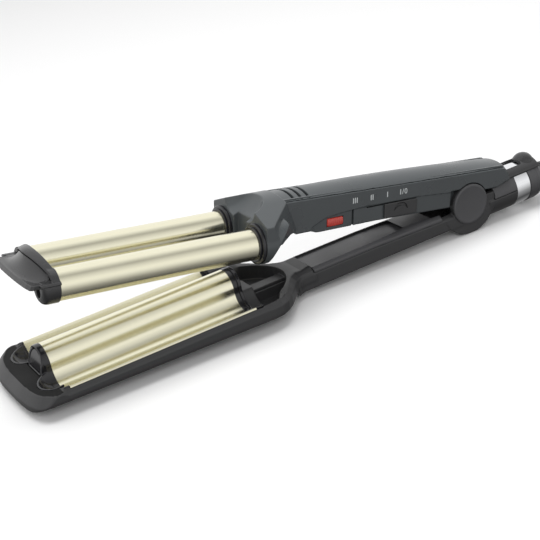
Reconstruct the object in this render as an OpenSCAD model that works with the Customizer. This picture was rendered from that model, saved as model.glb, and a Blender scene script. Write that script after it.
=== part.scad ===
// Hair waver: two heated tubes on an upper arm close into a wave-shaped plate on a lower arm.
// Row frame: millimetres, origin at the centre of the resting face under the tray,
// +X towards the rear end, +Z up.  The part is drawn open, as it lies on a table.

/* [Heated tubes] */
// Outer diameter of each heated tube
tube_d = 16; // [14:0.5:17.5]
// Clear space between the two tubes
tube_gap = 19.5; // [18.5:0.5:21.5]
// Visible length of each tube
tube_len = 103.5; // [90:0.5:110]
// Wall thickness of each tube
tube_wall = 1; // [0.8:0.1:1.5]
// Space between a tube and the plate when the arms are closed
hair_gap = 0.9; // [0.6:0.1:1.3]

/* [Wave plate] */
// Sheet thickness of the wave plate
plate_t = 1.2; // [0.8:0.1:1.5]
// Width of the wave plate from lip to lip
plate_w = 61.4; // [59:0.2:63]
// Slope of the plate's outer flanks in degrees
flank_slope = 35; // [30:1:38]

/* [Tray] */
// Width of the tray
tray_w = 67; // [66:0.5:70]
// Thickness of the tray floor at its thickest
tray_floor = 3; // [2.4:0.2:3.6]
// Depth of the tray under the tube axis
tray_deep = 17.6; // [17:0.2:18.5]

/* [Arms] */
// Distance from the hinge axis to the tube collars
arm_reach = 146.5; // [143:0.5:150]
// Opening angle between the arms at rest in degrees
open_angle = 10.07; // [8:0.01:11]
// Width of the handle
handle_w = 24; // [23.4:0.2:25]
// Height of the crown above the seam
crown_h = 3.9; // [3:0.1:4.4]
// Wall thickness of the plastic mouldings
wall = 1.8; // [1.5:0.1:2]

/* [Hinge] */
// Radius of the hinge discs
disc_r = 11.8; // [11:0.1:12]
// Radius of the hinge lugs
lug_r = 18.1; // [17.6:0.1:18.6]
// Diameter of the hinge pin
pin_d = 5; // [4:0.1:5.4]
// Play between a turning part and its pin, per side
run_play = 0.05; // [0.03:0.01:0.08]
// Play between parts that are pushed together, per side
fit_play = 0.1; // [0.05:0.01:0.15]

/* [Switch] */
// Length of the sliding switch button
button_len = 21.9; // [20:0.1:22]
// Travel of the sliding switch from off to the third heat step
switch_travel = 19.5; // [16.5:0.5:19.5]

/* [Rear barrel] */
// Outer radius of the rear barrel
barrel_r = 12; // [11.6:0.1:12.2]
// Length of the bright band
band_len = 10; // [9:0.1:10.6]
// Travel of the closing lock
lock_travel = 4; // [2:0.5:5]
// Diameter of the bore for the supply cord
cord_d = 6.8; // [5:0.1:7.5]

/* [Hidden] */

eps = 0.01;
far = 60;
fine = 96;
seat = 0.2;

// --- derived: tubes and plate (hinge axis is the origin of each arm's own frame) ---
tube_r = tube_d / 2;
pitch = (tube_d + tube_gap) / 2;
tube_z = 4.5;
trough_r = tube_r + hair_gap;
ridge_r = pitch - trough_r;
collar_x = -arm_reach;
collar_w = 3.1;
collar_r = tube_r + 2.7;
yoke_x = collar_x + collar_w;
tube_x0 = collar_x - tube_len;
tube_in = 12;
plug_in = 8;
plate_x1 = collar_x - 7.4;
plate_x0 = plate_x1 - tube_len - 2.2;
tangent_y = pitch + trough_r * sin(flank_slope);
flank_len = (plate_w / 2 - tangent_y) / cos(flank_slope);
lip_z = tube_z - trough_r * cos(flank_slope) + flank_len * sin(flank_slope);

// --- derived: tray and rest plane ---
nose_x = plate_x0 - 19;
tray_x1 = collar_x + 8;
tray_bot = tube_z - tray_deep;
pocket_z = tray_bot + tray_floor;
foot_x = (plate_x0 + tray_x1) / 2 + 2;
side_h = 7.8;
arm_bot = -11.4;
roof_z = -1;
foot_dist = sqrt(foot_x * foot_x + tray_bot * tray_bot);
tilt = asin(lug_r / foot_dist) - atan(tray_bot / foot_x);

// --- derived: handle ---
hw = handle_w / 2;
inner_y = hw - wall;
front_x = collar_x + 30;
seam_z0 = 18.02;
seam_slope = 1.4;
crown_R = 1431;
crown_x = -88;
crown_top = seam_z0 + 1.9 + crown_h;
tail_x = 33;
floor_z = 1;
belly_x = -disc_r - 1.9;

function seam_z(x) = seam_z0 - x * tan(seam_slope);
function crown_z(x) = crown_top - (x - crown_x) * (x - crown_x) / (2 * crown_R);

// --- derived: hinge ---
pin_r = pin_d / 2;
lug_y0 = hw - 3.6;
lug_y1 = hw - 0.6;
ear_t = 3;
ear_y1 = lug_y0 - 0.4;
ear_y0 = ear_y1 - ear_t;
ear_r = 8.5;
lug_in_r = lug_r - 2.2;
disc_t = 1.2;
wire_r = 0.8;
coil_r = pin_r + 2.7;
coils = 6;

// --- derived: rear barrel ---
barrel_z = -4.4;
split_z = barrel_z + 0.6;
barrel_x0 = 14;
band_x0 = 34.8;
band_x1 = band_x0 + band_len;
neck_r = barrel_r - 1.3;
neck_in_r = neck_r - 1.9;
collar_end = band_x1 + 12.8;
end_r = barrel_r + 0.4;
flange_x = collar_end - 5.2;
flange_r = 8.4;
stem_r = 6.4;
saddle_r0 = end_r + 0.15;
saddle_r1 = saddle_r0 + 0.9;
relief_r = saddle_r1 + 1;
cord_r = cord_d / 2;

// --- derived: switch and lamp ---
track_x0 = front_x * 0.6833;
track_x1 = track_x0 + button_len + switch_travel + 0.3;
button_x0 = track_x1 - 0.15 - button_len;
button_z0 = 1.6;
slot_z0 = 8.7;
slot_z1 = 10.1;
stem_len = 8;
stem_x = button_x0 + 9;
lamp_x0 = front_x * 0.831;
lamp_len = 10.5;
lamp_z = 5.3;
lamp_h = 5.6;

module xcyl(x0, x1, r, y = 0, z = 0) {
  translate([x0, y, z]) rotate([0, 90, 0]) cylinder(h = x1 - x0, r = r, $fn = fine);
}
module ycyl(y0, y1, r, x = 0, z = 0) {
  translate([x, y1, z]) rotate([90, 0, 0]) cylinder(h = y1 - y0, r = r, $fn = fine);
}
module zcyl(z0, z1, r, x = 0, y = 0) {
  translate([x, y, z0]) cylinder(h = z1 - z0, r = r, $fn = fine);
}
module block(x0, x1, y0, y1, z0, z1) {
  translate([x0, y0, z0]) cube([x1 - x0, y1 - y0, z1 - z0]);
}
module both_sides() {
  children();
  mirror([0, 1, 0]) children();
}
// a profile drawn in x and z, made solid from y0 to y1
module from_side(y0, y1) {
  translate([0, y1, 0]) rotate([90, 0, 0]) linear_extrude(height = y1 - y0) children();
}
// a profile drawn in y and z, made solid from x0 to x1
module from_front(x0, x1) {
  translate([x0, 0, 0]) rotate([90, 0, 90]) linear_extrude(height = x1 - x0) children();
}
module from_top(z0, z1) {
  translate([0, 0, z0]) linear_extrude(height = z1 - z0) children();
}
module lower() {
  rotate([0, -tilt, 0]) translate([-foot_x, 0, -tray_bot]) children();
}
module upper() {
  lower() rotate([0, open_angle, 0]) children();
}
module screw(len) {
  cylinder(h = 1.6, r = 2.6, $fn = fine);
  cylinder(h = len, r = 1.25, $fn = fine);
}

// ---------------- lower arm ----------------

function half_plan() = [[nose_x, 0.5], [nose_x + 0.3, 6], [nose_x + 1.1, 19], [nose_x + 2.9, 27],
  [nose_x + 5.6, tray_w / 2 - 1.8], [nose_x + 11, tray_w / 2], [tray_x1 - 1, tray_w / 2], [tray_x1 + 3, tray_w / 2 - 2],
  [tray_x1 + 10, tray_w / 2 - 9.5], [tray_x1 + 17, hw + 5.5], [tray_x1 + 25, hw + 1.8], [tray_x1 + 34, hw + 0.2],
  [tray_x1 + 44, hw - 0.6], [0, hw - 0.6]];
module plan() {
  p = half_plan();
  polygon(concat(p, [for (i = [len(p) - 1 : -1 : 0]) [p[i][0], -p[i][1]]]));
}
// roof shape shared by the arm and its cover; drop lowers it
module roof(drop) {
  z0 = roof_z - 2.4 - drop;
  z1 = roof_z - drop;
  polygon([[-far, -far], [-far, z0], [-hw, z0], [-hw + 3.4, z1], [hw - 3.4, z1], [hw, z0], [far, z0], [far, -far]]);
}
// drawn square to the table
module on_table() {
  translate([foot_x, 0, tray_bot]) rotate([0, tilt, 0]) children();
}
// height of the table in the arm's own frame
function rest_z(x) = tray_bot - (x - foot_x) * tan(tilt);
// the belly of the tray, raised by up
module belly(up) {
  on_table() from_front(-100, 110) polygon([[-tray_w, 60], [-tray_w, side_h * 3 + up], [-tray_w / 2, side_h + up],
    [-tray_w / 4, up], [tray_w / 4, up], [tray_w / 2, side_h + up], [tray_w, side_h * 3 + up], [tray_w, 60]]);
}
module tray_solid() {
  intersection() {
    from_top(-40, 20) plan();
    from_side(-far, far) polygon([[nose_x - 1, lip_z - 3.4], [nose_x + 4, lip_z - 2.2], [plate_x0 - 6, lip_z - 1.2],
      [plate_x0, lip_z - 0.2], [plate_x1, lip_z - 0.2], [tray_x1 + 6, lip_z - 1.6], [tray_x1 + 22, -1.9],
      [tray_x1 + 32, -3.2], [tray_x1 + 36, -14], [tray_x1 + 22, -11.8], [tray_x1 + 2, tray_bot - 4],
      [nose_x + 17, tray_bot - 4], [nose_x + 17, tray_bot - 0.2], [nose_x - 1, tray_bot + 6.5]]);
    belly(0);
  }
}
module arm_solid() {
  intersection() {
    from_top(-40, 20) plan();
    from_front(tray_x1 + 20, -6) roof(wall);
    from_side(-far, far) polygon([[tray_x1 + 20, 10], [-6, 10], [-6, arm_bot], [tray_x1 + 20, arm_bot]]);
  }
}
// the space the plate and its underside parts take
module plate_space_2d() {
  translate([pitch, tube_z]) circle(r = trough_r + plate_t, $fn = fine);
  translate([-pitch, tube_z]) circle(r = trough_r + plate_t, $fn = fine);
  translate([-ridge_r - 1, pocket_z]) square([2 * ridge_r + 2, 30]);
  flank_space_2d();
  mirror([1, 0]) flank_space_2d();
}
module flank_space_2d() {
  translate([pitch, tube_z]) rotate(flank_slope) translate([0, -trough_r - plate_t]) square([flank_len + 0.1, 20]);
}
// everything under the wave's top face, lowered by t; the arcs cross a little so that no faces just touch
module under_wave(t) {
  side_y = pitch + trough_r * sin(flank_slope);
  difference() {
    union() {
      intersection() {
        translate([0, tube_z]) circle(r = ridge_r - t + 0.02, $fn = fine);
        translate([-far, tube_z - 1]) square([2 * far, far]);
      }
      translate([-side_y - t, -far - t]) square([2 * (side_y + t), far + t + tube_z]);
      flank_strip_2d(t);
      mirror([1, 0]) flank_strip_2d(t);
    }
    translate([pitch, tube_z]) circle(r = trough_r + t, $fn = fine);
    translate([-pitch, tube_z]) circle(r = trough_r + t, $fn = fine);
  }
}
module flank_strip_2d(t) {
  translate([pitch, tube_z]) rotate(flank_slope) translate([-1.5 - t, -far]) {
    square([1.5 + 2 * t + flank_len, far - trough_r - t + 0.015]);
  }
}
module plate_2d() {
  difference() {
    under_wave(0);
    under_wave(plate_t);
    translate([-2 * far, -3 * far]) square([4 * far, 2 * far]);
  }
}
module lug_2d() {
  // full boss round the pin, wide crescent below the swept path of the handle
  circle(r = disc_r, $fn = fine);
  intersection() {
    circle(r = lug_r, $fn = fine);
    union() {
      translate([-far, -far]) square([far, far - 5]);
      translate([0, -far]) square([far, far + 1.5]);
    }
  }
}
module barrel_solid(x0, r) {
  xcyl(x0, band_x0, r, 0, barrel_z);
}
module lower_shell() {
  color([0.16, 0.165, 0.17]) lower() {
    difference() {
      union() {
        tray_solid();
        arm_solid();
        both_sides() from_side(lug_y0, lug_y1) lug_2d();
        // curved wall under the hinge
        difference() {
          ycyl(-lug_y1, lug_y1, lug_r);
          block(-far, far, -far, far, -7, far);
        }
        intersection() {
          barrel_solid(barrel_x0, barrel_r);
          block(0, 100, -far, far, -far, split_z);
        }
        intersection() {
          xcyl(band_x0 - eps, collar_end - 6.4, neck_r, 0, barrel_z);
          block(0, 100, -far, far, -far, split_z);
        }
      }
      // wave plate, its heater pocket and its end caps
      from_front(plate_x0 - 6.05, plate_x1 + 5) plate_space_2d();
      for (x = [plate_x0 + 6, (plate_x0 + plate_x1) / 2 + 2]) {
        intersection() {
          block(x, x + (plate_x1 - plate_x0) / 2 - 14, -tangent_y, tangent_y, -40, 30);
          belly(tray_floor);
        }
      }
      // cavity behind the plate, with a bar left in its middle
      difference() {
        intersection() {
          from_top(-40, 20) offset_plan();
          block(plate_x1 + 4.9, tray_x1 + 31, -far, far, arm_bot + wall, far);
          belly(tray_floor);
        }
        block(plate_x1 + 4.9, tray_x1 + 31, -3.2, 3.2, -far, -3.4);
      }
      // hollow of the arm under its cover
      block(tray_x1 + 35, belly_x - 6, -hw + 0.6 + wall, hw - 0.6 - wall, arm_bot + wall, 10);
      intersection() {
        from_front(tray_x1 + 32, belly_x - 6) difference() {
          translate([-far, -far]) square([2 * far, 2 * far]);
          roof(wall);
        }
        block(-far * 4, 0, -far, far, -40, 40);
      }
      // space between the lugs
      difference() {
        ycyl(-lug_y0, lug_y0, lug_in_r);
        block(-far, far, -far, far, -far, -lug_in_r - 1);
      }
      block(belly_x - 6.1, 0, -lug_y0, lug_y0, arm_bot + wall, 10);
      both_sides() ycyl(lug_y0 - 1, hw + 1, pin_r + run_play / 2);
      both_sides() ycyl(lug_y1 - disc_t, hw + 1, 6 + fit_play);
      // hollow of the barrel
      xcyl(barrel_x0 - 6, band_x0, barrel_r - wall - 0.4, 0, barrel_z);
      xcyl(band_x0 - 1, collar_end, neck_in_r, 0, barrel_z);
      // screw holes
      translate([band_x0 - 8, 0, -far]) cylinder(h = far, r = 1.25 + fit_play, $fn = fine);
      translate([band_x0 - 8, 0, -far]) cylinder(h = far + barrel_z - barrel_r + 1.7, r = 2.6 + fit_play, $fn = fine);
      for (x = tray_screw_x()) {
        translate([x, 0, -far]) cylinder(h = far + 20, r = 1.25 + fit_play, $fn = fine);
        translate([x, 0, -far]) cylinder(h = far + rest_z(x) + 1.9, r = 2.6 + fit_play, $fn = fine);
      }
      on_table() block(-150, 150, -far, far, -far, 0);
    }
    // stop blocks for the open position
    both_sides() block(-6, -2.5, ear_y0 + 0.2, lug_y0 + 0.2, -lug_in_r, -9.6);
    // boss for the barrel screw
    difference() {
      zcyl(barrel_z - barrel_r + 1.2, split_z, 2.9, band_x0 - 8, 0);
      zcyl(-far, far, 1.25 + fit_play, band_x0 - 8, 0);
      zcyl(-far, barrel_z - barrel_r + 1.7, 2.6 + fit_play, band_x0 - 8, 0);
    }
  }
}
function tray_screw_x() = [plate_x0 + 14, plate_x1 - 16];
module offset_plan() {
  polygon([[tray_x1 - 40, -tray_w / 2 + 3.6], [tray_x1 - 2, -tray_w / 2 + 3.6], [tray_x1 + 1.5, -tray_w / 2 + 5],
    [tray_x1 + 8, -tray_w / 2 + 12.5], [tray_x1 + 15, -hw - 2.8], [tray_x1 + 22, -hw + 3.5], [tray_x1 + 24, 0],
    [tray_x1 + 22, hw - 3.5], [tray_x1 + 15, hw + 2.8], [tray_x1 + 8, tray_w / 2 - 12.5],
    [tray_x1 + 1.5, tray_w / 2 - 5], [tray_x1 - 2, tray_w / 2 - 3.6], [tray_x1 - 40, tray_w / 2 - 3.6]]);
}
module wave_plate() {
  color([0.8, 0.76, 0.6]) lower() from_front(plate_x0, plate_x1) plate_2d();
}
module cap_2d() {
  // wave profile filled under its ridge
  plate_2d();
  intersection() {
    under_wave(0);
    translate([-ridge_r + plate_t / 2, pocket_z + 0.6]) square([2 * ridge_r - plate_t, 40]);
  }
}
module plate_front_cap() {
  color([0.05, 0.05, 0.055]) lower() difference() {
    from_front(plate_x0 - 6, plate_x0) cap_2d();
    // sloping front face under the closed front cap of the tubes
    from_side(-far, far) polygon([[plate_x0 - 7, lip_z - 1], [plate_x0 - 4.45, lip_z - 0.4],
      [plate_x0 - 0.9, tube_z + ridge_r], [plate_x0 - 0.9, 40], [plate_x0 - 7, 40]]);
    both_sides() translate([plate_x0 - 6.5, pitch, tube_z - 1]) sphere(r = trough_r - 1.4, $fn = fine);
    block(plate_x0 - 3.2, plate_x0 + 1, -pitch + 2, pitch - 2, pocket_z - 1, lip_z - 5);
  }
}
module plate_rear_cap() {
  color([0.1, 0.1, 0.105]) lower() difference() {
    from_front(plate_x1, plate_x1 + 4.9) cap_2d();
    from_front(plate_x1 + 2, plate_x1 + 6) translate([-pitch + 3, pocket_z - 1]) square([2 * pitch - 6, 4]);
    block(plate_x1 - 1, plate_x1 + 6, -2, 2, pocket_z - 1, tube_z);
  }
}
module plate_heater() {
  color([0.85, 0.84, 0.8]) lower() difference() {
    xcyl(plate_x0 + 7, plate_x1 - 6, ridge_r - plate_t - seat, 0, tube_z);
    block(plate_x0, plate_x1, -far, far, -far, tube_z - 3.5);
    block(plate_x0 + 7.5, plate_x1 - 6.5, -3, 3, tube_z - 4, tube_z - 1.5);
  }
}
module heater_clamp() {
  x0 = plate_x0 + 9;
  x1 = plate_x1 - 8;
  color([0.62, 0.63, 0.64]) lower() difference() {
    union() {
      block(x0, x1, -5.5, 5.5, tube_z - 4.7, tube_z - 3.5);
      for (x = tray_screw_x()) zcyl(rest_z(x) + tray_floor + seat, tube_z - 4, 3.4, x, 0);
    }
    for (x = tray_screw_x()) zcyl(-far, far, 1.25 + fit_play / 2, x, 0);
  }
}
module thermal_fuse() {
  xm = (plate_x0 + plate_x1) / 2;
  color([0.75, 0.7, 0.5]) lower() {
    xcyl(xm - 6, xm + 6, 1.5, 0, tube_z - 6.4);
    xcyl(xm - 14, xm + 14, 0.5, 0, tube_z - 6.4);
    both_sides() block(xm - 3, xm + 3, 1.1, 2.6, tube_z - 7, tube_z - 4.7);
  }
}
module tray_screws() {
  color([0.55, 0.56, 0.58]) lower() for (x = tray_screw_x()) {
    translate([x, 0, rest_z(x) + 0.3]) screw(11.5);
  }
}
module arm_cover() {
  color([0.2, 0.205, 0.21]) lower() difference() {
    intersection() {
      from_top(-20, 20) plan();
      from_front(tray_x1 + 32, belly_x - 6) difference() {
        roof(0);
        roof(wall);
      }
    }
    block(belly_x - 12, belly_x, -ear_y1 - 0.5, ear_y1 + 0.5, -20, 20);
  }
}
module barrel_cover() {
  color([0.16, 0.165, 0.17]) lower() {
    difference() {
      union() {
        intersection() {
          barrel_solid(barrel_x0 + 2, barrel_r);
          block(0, 100, -far, far, split_z, far);
        }
        intersection() {
          xcyl(band_x0 - eps, collar_end - 6.4, neck_r, 0, barrel_z);
          block(0, 100, -far, far, split_z, far);
        }
      }
      xcyl(barrel_x0 - 2, band_x0, barrel_r - wall - 0.4, 0, barrel_z);
      xcyl(band_x0 - 1, collar_end, neck_in_r, 0, barrel_z);
      ycyl(-far, far, lug_r + 0.3);
      block(band_x1 - 0.5, collar_end, -2.3, 2.3, 0, far);
    }
    difference() {
      zcyl(split_z, barrel_z + barrel_r - 1.2, 2.9, band_x0 - 8, 0);
      zcyl(-far, barrel_z + barrel_r - 3, 1.25 + fit_play / 2, band_x0 - 8, 0);
    }
  }
}
module barrel_screw() {
  color([0.55, 0.56, 0.58]) lower() translate([band_x0 - 8, 0, barrel_z - barrel_r + 0.1]) screw(15);
}
module bright_band() {
  color([0.9, 0.9, 0.91]) lower() difference() {
    xcyl(band_x0 + 0.05, band_x1 - 0.05, barrel_r, 0, barrel_z);
    xcyl(band_x0 - 1, band_x1 + 1, neck_r + run_play, 0, barrel_z);
  }
}
module end_collar() {
  color([0.13, 0.135, 0.14]) lower() difference() {
    translate([0, 0, barrel_z]) rotate([0, 90, 0]) rotate_extrude($fn = fine)
      polygon([[neck_r + run_play, band_x1], [end_r, band_x1], [end_r, band_x1 + 5.4], [end_r - 0.6, band_x1 + 8.6],
        [end_r - 2, band_x1 + 11.2], [end_r - 4.6, collar_end], [stem_r + 0.15, collar_end],
        [stem_r + 0.15, flange_x + 2.1], [flange_r + 0.15, flange_x + 2.1], [flange_r + 0.15, flange_x - 1.2],
        [neck_r + run_play, flange_x - 1.2]]);
    // slot for the foot of the lock
    block(band_x1 + 0.8, band_x1 + 9.2, -2.2, 2.2, barrel_z + flange_r + 1.2, far);
    block(band_x1 + 0.2, band_x1 + 5.2, -end_r - 1, -end_r + 0.7, -13, -8.3);
  }
}
module hinge_pin() {
  color([0.7, 0.71, 0.72]) lower() ycyl(-lug_y1 + disc_t + 0.2, lug_y1 - disc_t - 0.2, pin_r);
}
module disc(side) {
  color([0.17, 0.17, 0.175]) lower() mirror([0, side, 0]) {
    ycyl(lug_y1, hw + 0.8, disc_r);
    ycyl(lug_y1 - disc_t + 0.1, lug_y1 + 0.1, 6);
  }
}
module hinge_disc_near() {
  disc(1);
}
module hinge_disc_far() {
  disc(0);
}
module hinge_spring() {
  pitch_y = wire_r * 1.8;
  span = (coils - 1) * pitch_y / 2;
  color([0.6, 0.6, 0.62]) lower() {
    rotate([90, 0, 0]) rotate_extrude($fn = fine) polygon(concat(
      [[coil_r - wire_r, span + pitch_y / 2], [coil_r - wire_r, -span - pitch_y / 2]],
      [for (i = [0 : coils - 1]) each [[coil_r + wire_r * 0.5, -span + (i - 0.5) * pitch_y],
        [coil_r + wire_r, -span + (i - 0.2) * pitch_y], [coil_r + wire_r, -span + (i + 0.2) * pitch_y]]],
      [[coil_r + wire_r * 0.5, span + pitch_y / 2]]));
    xcyl(belly_x, -1, wire_r - 0.1, -span, -coil_r);
    xcyl(-coil_r - 3, -1, wire_r - 0.1, span, coil_r);
  }
}

// ---------------- upper arm ----------------

module above_seam(up = 0) {
  translate([0, 0, seam_z0 + up]) rotate([0, seam_slope, 0]) block(-200, 100, -far, far, 0, far);
}
module handle_ends() {
  from_side(-far, far) polygon([[front_x + 1.5, 1.8], [front_x, 5.3], [front_x - 7, 20.6], [front_x - 9.6, 30],
    [tail_x - 12, 30], [tail_x - 5.5, 18.4], [tail_x - 1, 14.6], [tail_x, 11.5], [tail_x, -20], [front_x + 1.5, -20]]);
}
// one slice of the crown: an arch that stands on the seam
module crown_slice(x, less) {
  w = hw - 0.8 * less;
  h = crown_z(x) - less - seam_z(x);
  R = (w * w + h * h) / (2 * h);
  from_front(x, x + 0.1) {
    intersection() {
      translate([0, seam_z(x) + h - R]) circle(r = R, $fn = fine);
      translate([-w, seam_z(x) - 0.1]) square([2 * w, h + 1]);
    }
    translate([-w, seam_z(x) - 3]) square([2 * w, 3]);
  }
}
module crown(less) {
  hull() for (x = [front_x - 14, -104, -74, -44, -14, 10, tail_x + 3]) crown_slice(x, less);
}
module upper_shell() {
  color([0.21, 0.215, 0.225]) upper() {
    difference() {
      intersection() {
        crown(0);
        handle_ends();
        above_seam();
      }
      crown(wall);
      for (x = [0 : 2]) {
        block(front_x + 0.3 + 4.5 * x, front_x + 1.9 + 4.5 * x, -hw + 1.6, hw - 1.6, 18, 40);
      }
      tail_relief();
    }
    for (x = post_x()) {
      difference() {
        zcyl(post_z(), crown_z(x) - wall / 2, 3, x, 0);
        zcyl(post_z() - 1, post_z() + 9, 1.25 + fit_play / 2, x, 0);
      }
    }
  }
}
function post_x() = [front_x + 15, -24];
function post_z() = 12;
module tail_relief() {
  rotate([0, -open_angle, 0]) {
    xcyl(barrel_x0 - 6, far, relief_r, 0, barrel_z);
    block(barrel_x0 - 6, far, -relief_r, relief_r, -far, barrel_z);
  }
}
module base_profile() {
  polygon([[front_x + 1.5, 2], [front_x + 10, 2], [front_x + 13.5, floor_z], [-64, floor_z], [belly_x, -0.2],
    [belly_x, 9.4], [0, 9.4], [0, 6.6], [19.7, 6.6], [25, 8.8], [30, 10.3], [tail_x + 5, 10.6], [tail_x + 5, 40],
    [front_x - 20, 40], [front_x - 20, 2]]);
}
module handle_base() {
  color([0.19, 0.195, 0.2]) upper() {
    difference() {
      intersection() {
        from_side(-hw, hw) base_profile();
        handle_ends();
      }
      above_seam();
      // front room for the switch, lamp and board
      from_side(-inner_y, inner_y) polygon([[front_x - 20, 2 + wall], [front_x + 10, 2 + wall],
        [front_x + 13.5, floor_z + wall], [-64, floor_z + wall], [belly_x - wall, -0.2 + wall],
        [belly_x - wall, 40], [front_x - 20, 40]]);
      block(belly_x - wall - 1, tail_x - 1.4, -inner_y, inner_y, 13, 40);
      block(belly_x, tail_x - 1.4, -inner_y, inner_y, -20, 40);
      both_sides() ycyl(lug_y0 - 0.4, hw + 1, disc_r + 0.5);
      tail_relief();
      switch_cuts();
      lamp_cut(0);
      for (x = post_x()) {
        translate([x, 0, -5]) cylinder(h = 40, r = 1.25 + fit_play, $fn = fine);
        translate([x, 0, -5]) cylinder(h = 5 + floor_z + 2.2, r = 2.6 + fit_play, $fn = fine);
      }
    }
    // ears that turn on the pin
    both_sides() difference() {
      union() {
        from_side(ear_y0, ear_y1) union() {
          circle(r = ear_r, $fn = fine);
          polygon([[belly_x - 1, 0], [belly_x - 1, 13], [4, 13], [6, 0]]);
        }
        rotate([0, -open_angle, 0]) block(-2.5, 2, ear_y0, ear_y1, -13.2, -6);
      }
      ycyl(-far, far, pin_r + run_play);
    }
    // screw posts
    for (x = post_x()) {
      difference() {
        zcyl(floor_z + 0.2, post_z(), 4, x, 0);
        zcyl(-5, 40, 1.25 + fit_play, x, 0);
        zcyl(-5, floor_z + 2.2, 2.6 + fit_play, x, 0);
      }
    }
    // shelves under the board
    both_sides() for (x = board_shelves()) {
      block(x, x + 4, inner_y - 2.4, inner_y + 0.5, board_z() - 2, board_z());
    }
  }
}
function board_shelves() = [front_x + 28.5, -38];
function board_z() = 13.6;
module switch_cuts() {
  block(track_x0, track_x1, -hw - 1, -hw + 0.8, button_z0 - 0.1, slot_z1);
  block(track_x0 - 0.9, track_x0 + 0.3, -hw - 1, -hw + 1.4, button_z0 - 0.1, slot_z1);
  block(stem_x - switch_travel - 0.4, stem_x + stem_len + 0.4, -hw - 1, -inner_y + 1, slot_z0 - 0.2, slot_z1);
}
module switch_button() {
  color([0.13, 0.135, 0.14]) upper() {
    difference() {
      block(button_x0, button_x0 + button_len, -hw - 0.5, -hw + 0.6, button_z0 + 0.1, slot_z1 - 0.2);
      translate([button_x0 + button_len / 2, -hw + 0.2, 3.6]) rotate([90, 0, 0]) difference() {
        cylinder(h = 3, r = 7.4, $fn = fine);
        translate([0, -2.6, -1]) cylinder(h = 6, r = 7.6, $fn = fine);
      }
    }
    block(stem_x, stem_x + stem_len, -hw, -inner_y + 1.4, slot_z0, slot_z1 - 0.2);
    block(stem_x, stem_x + stem_len, -inner_y + 0.2, -inner_y + 1.4, 5, slot_z1 - 0.2);
    block(stem_x + 2.5, stem_x + stem_len - 2.5, -inner_y + 1, -inner_y + 3.6, 6, 8.4);
  }
}
module switch_body() {
  x0 = stem_x - switch_travel - 3;
  x1 = stem_x + stem_len + 3;
  color([0.82, 0.8, 0.74]) upper() difference() {
    union() {
      block(x0, x1, -inner_y + 1.7, 3, floor_z + wall, board_z());
      for (i = [0 : 4]) {
        block(x0 + 4 + i * 6, x0 + 5 + i * 6, 2, 5.6, 6, 6.8);
      }
    }
    block(x0 + 2.6, x1 - 2.6, -inner_y + 1, -inner_y + 4, 5.4, 9);
  }
}
module lamp_cut(less) {
  block(lamp_x0 + less, lamp_x0 + lamp_len - less, -hw - 1, -inner_y + 1, lamp_z - lamp_h / 2 + less,
    lamp_z + lamp_h / 2 - less);
}
module lamp_lens() {
  color([0.85, 0.2, 0.12]) upper() {
    intersection() {
      lamp_cut(fit_play);
      block(-200, 0, -hw - 0.3, -inner_y + 0.5, -20, 40);
    }
    block(lamp_x0 - 1, lamp_x0 + lamp_len + 1, -inner_y, -inner_y + 0.9, lamp_z - lamp_h / 2 + 0.4,
      lamp_z + lamp_h / 2 + 1);
  }
}
module lamp_body() {
  color([0.9, 0.85, 0.75]) upper() {
    ycyl(-inner_y + 0.9, -inner_y + 5.4, 2, lamp_x0 + lamp_len / 2, lamp_z + 0.4);
    ycyl(-inner_y + 5, -inner_y + 6.4, 2.4, lamp_x0 + lamp_len / 2, lamp_z + 0.4);
    block(lamp_x0 + lamp_len / 2 - 0.5, lamp_x0 + lamp_len / 2 + 0.5, -inner_y + 5.2, -inner_y + 6.2,
      lamp_z, board_z());
  }
}
module circuit_board() {
  color([0.1, 0.35, 0.2]) upper() difference() {
    union() {
      block(front_x + 20.5, -30, -inner_y + 0.4, inner_y - 0.4, board_z(), board_z() + 1.6);
      block(front_x + 34.5, front_x + 46.5, -4, 5, board_z() + 1, board_z() + 4);
      block(-60, -52, -5, 3, board_z() + 1, board_z() + 3.6);
    }
    zcyl(0, 40, 4.4, post_x()[0], 0);
  }
}
module handle_screws() {
  color([0.55, 0.56, 0.58]) upper() for (x = post_x()) {
    translate([x, 0, floor_z + 0.6]) screw(18);
  }
}
module yoke_hull() {
  hull() {
    both_sides() {
      xcyl(yoke_x, yoke_x + 2, collar_r + 0.2, pitch, tube_z);
      block(yoke_x, yoke_x + 0.5, pitch - 10, pitch, 18, tube_z + 14.8);
      block(yoke_x + 3, yoke_x + 3.5, pitch, tube_z + 3.9 + pitch, tube_z, 14.4);
      block(front_x - 7.4, front_x - 7, hw - 1, hw - 0.5, 2.4, 20.4);
      block(front_x + 1, front_x + 1.4, hw - 2, hw - 1, 2.1, 5);
      block(front_x - 13, front_x - 8, hw - 8, hw - 2.4, 20, crown_top - 1.7);
    }
    block(front_x - 12, front_x - 8, -3, 3, 20, crown_top - 0.2);
  }
}
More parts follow.
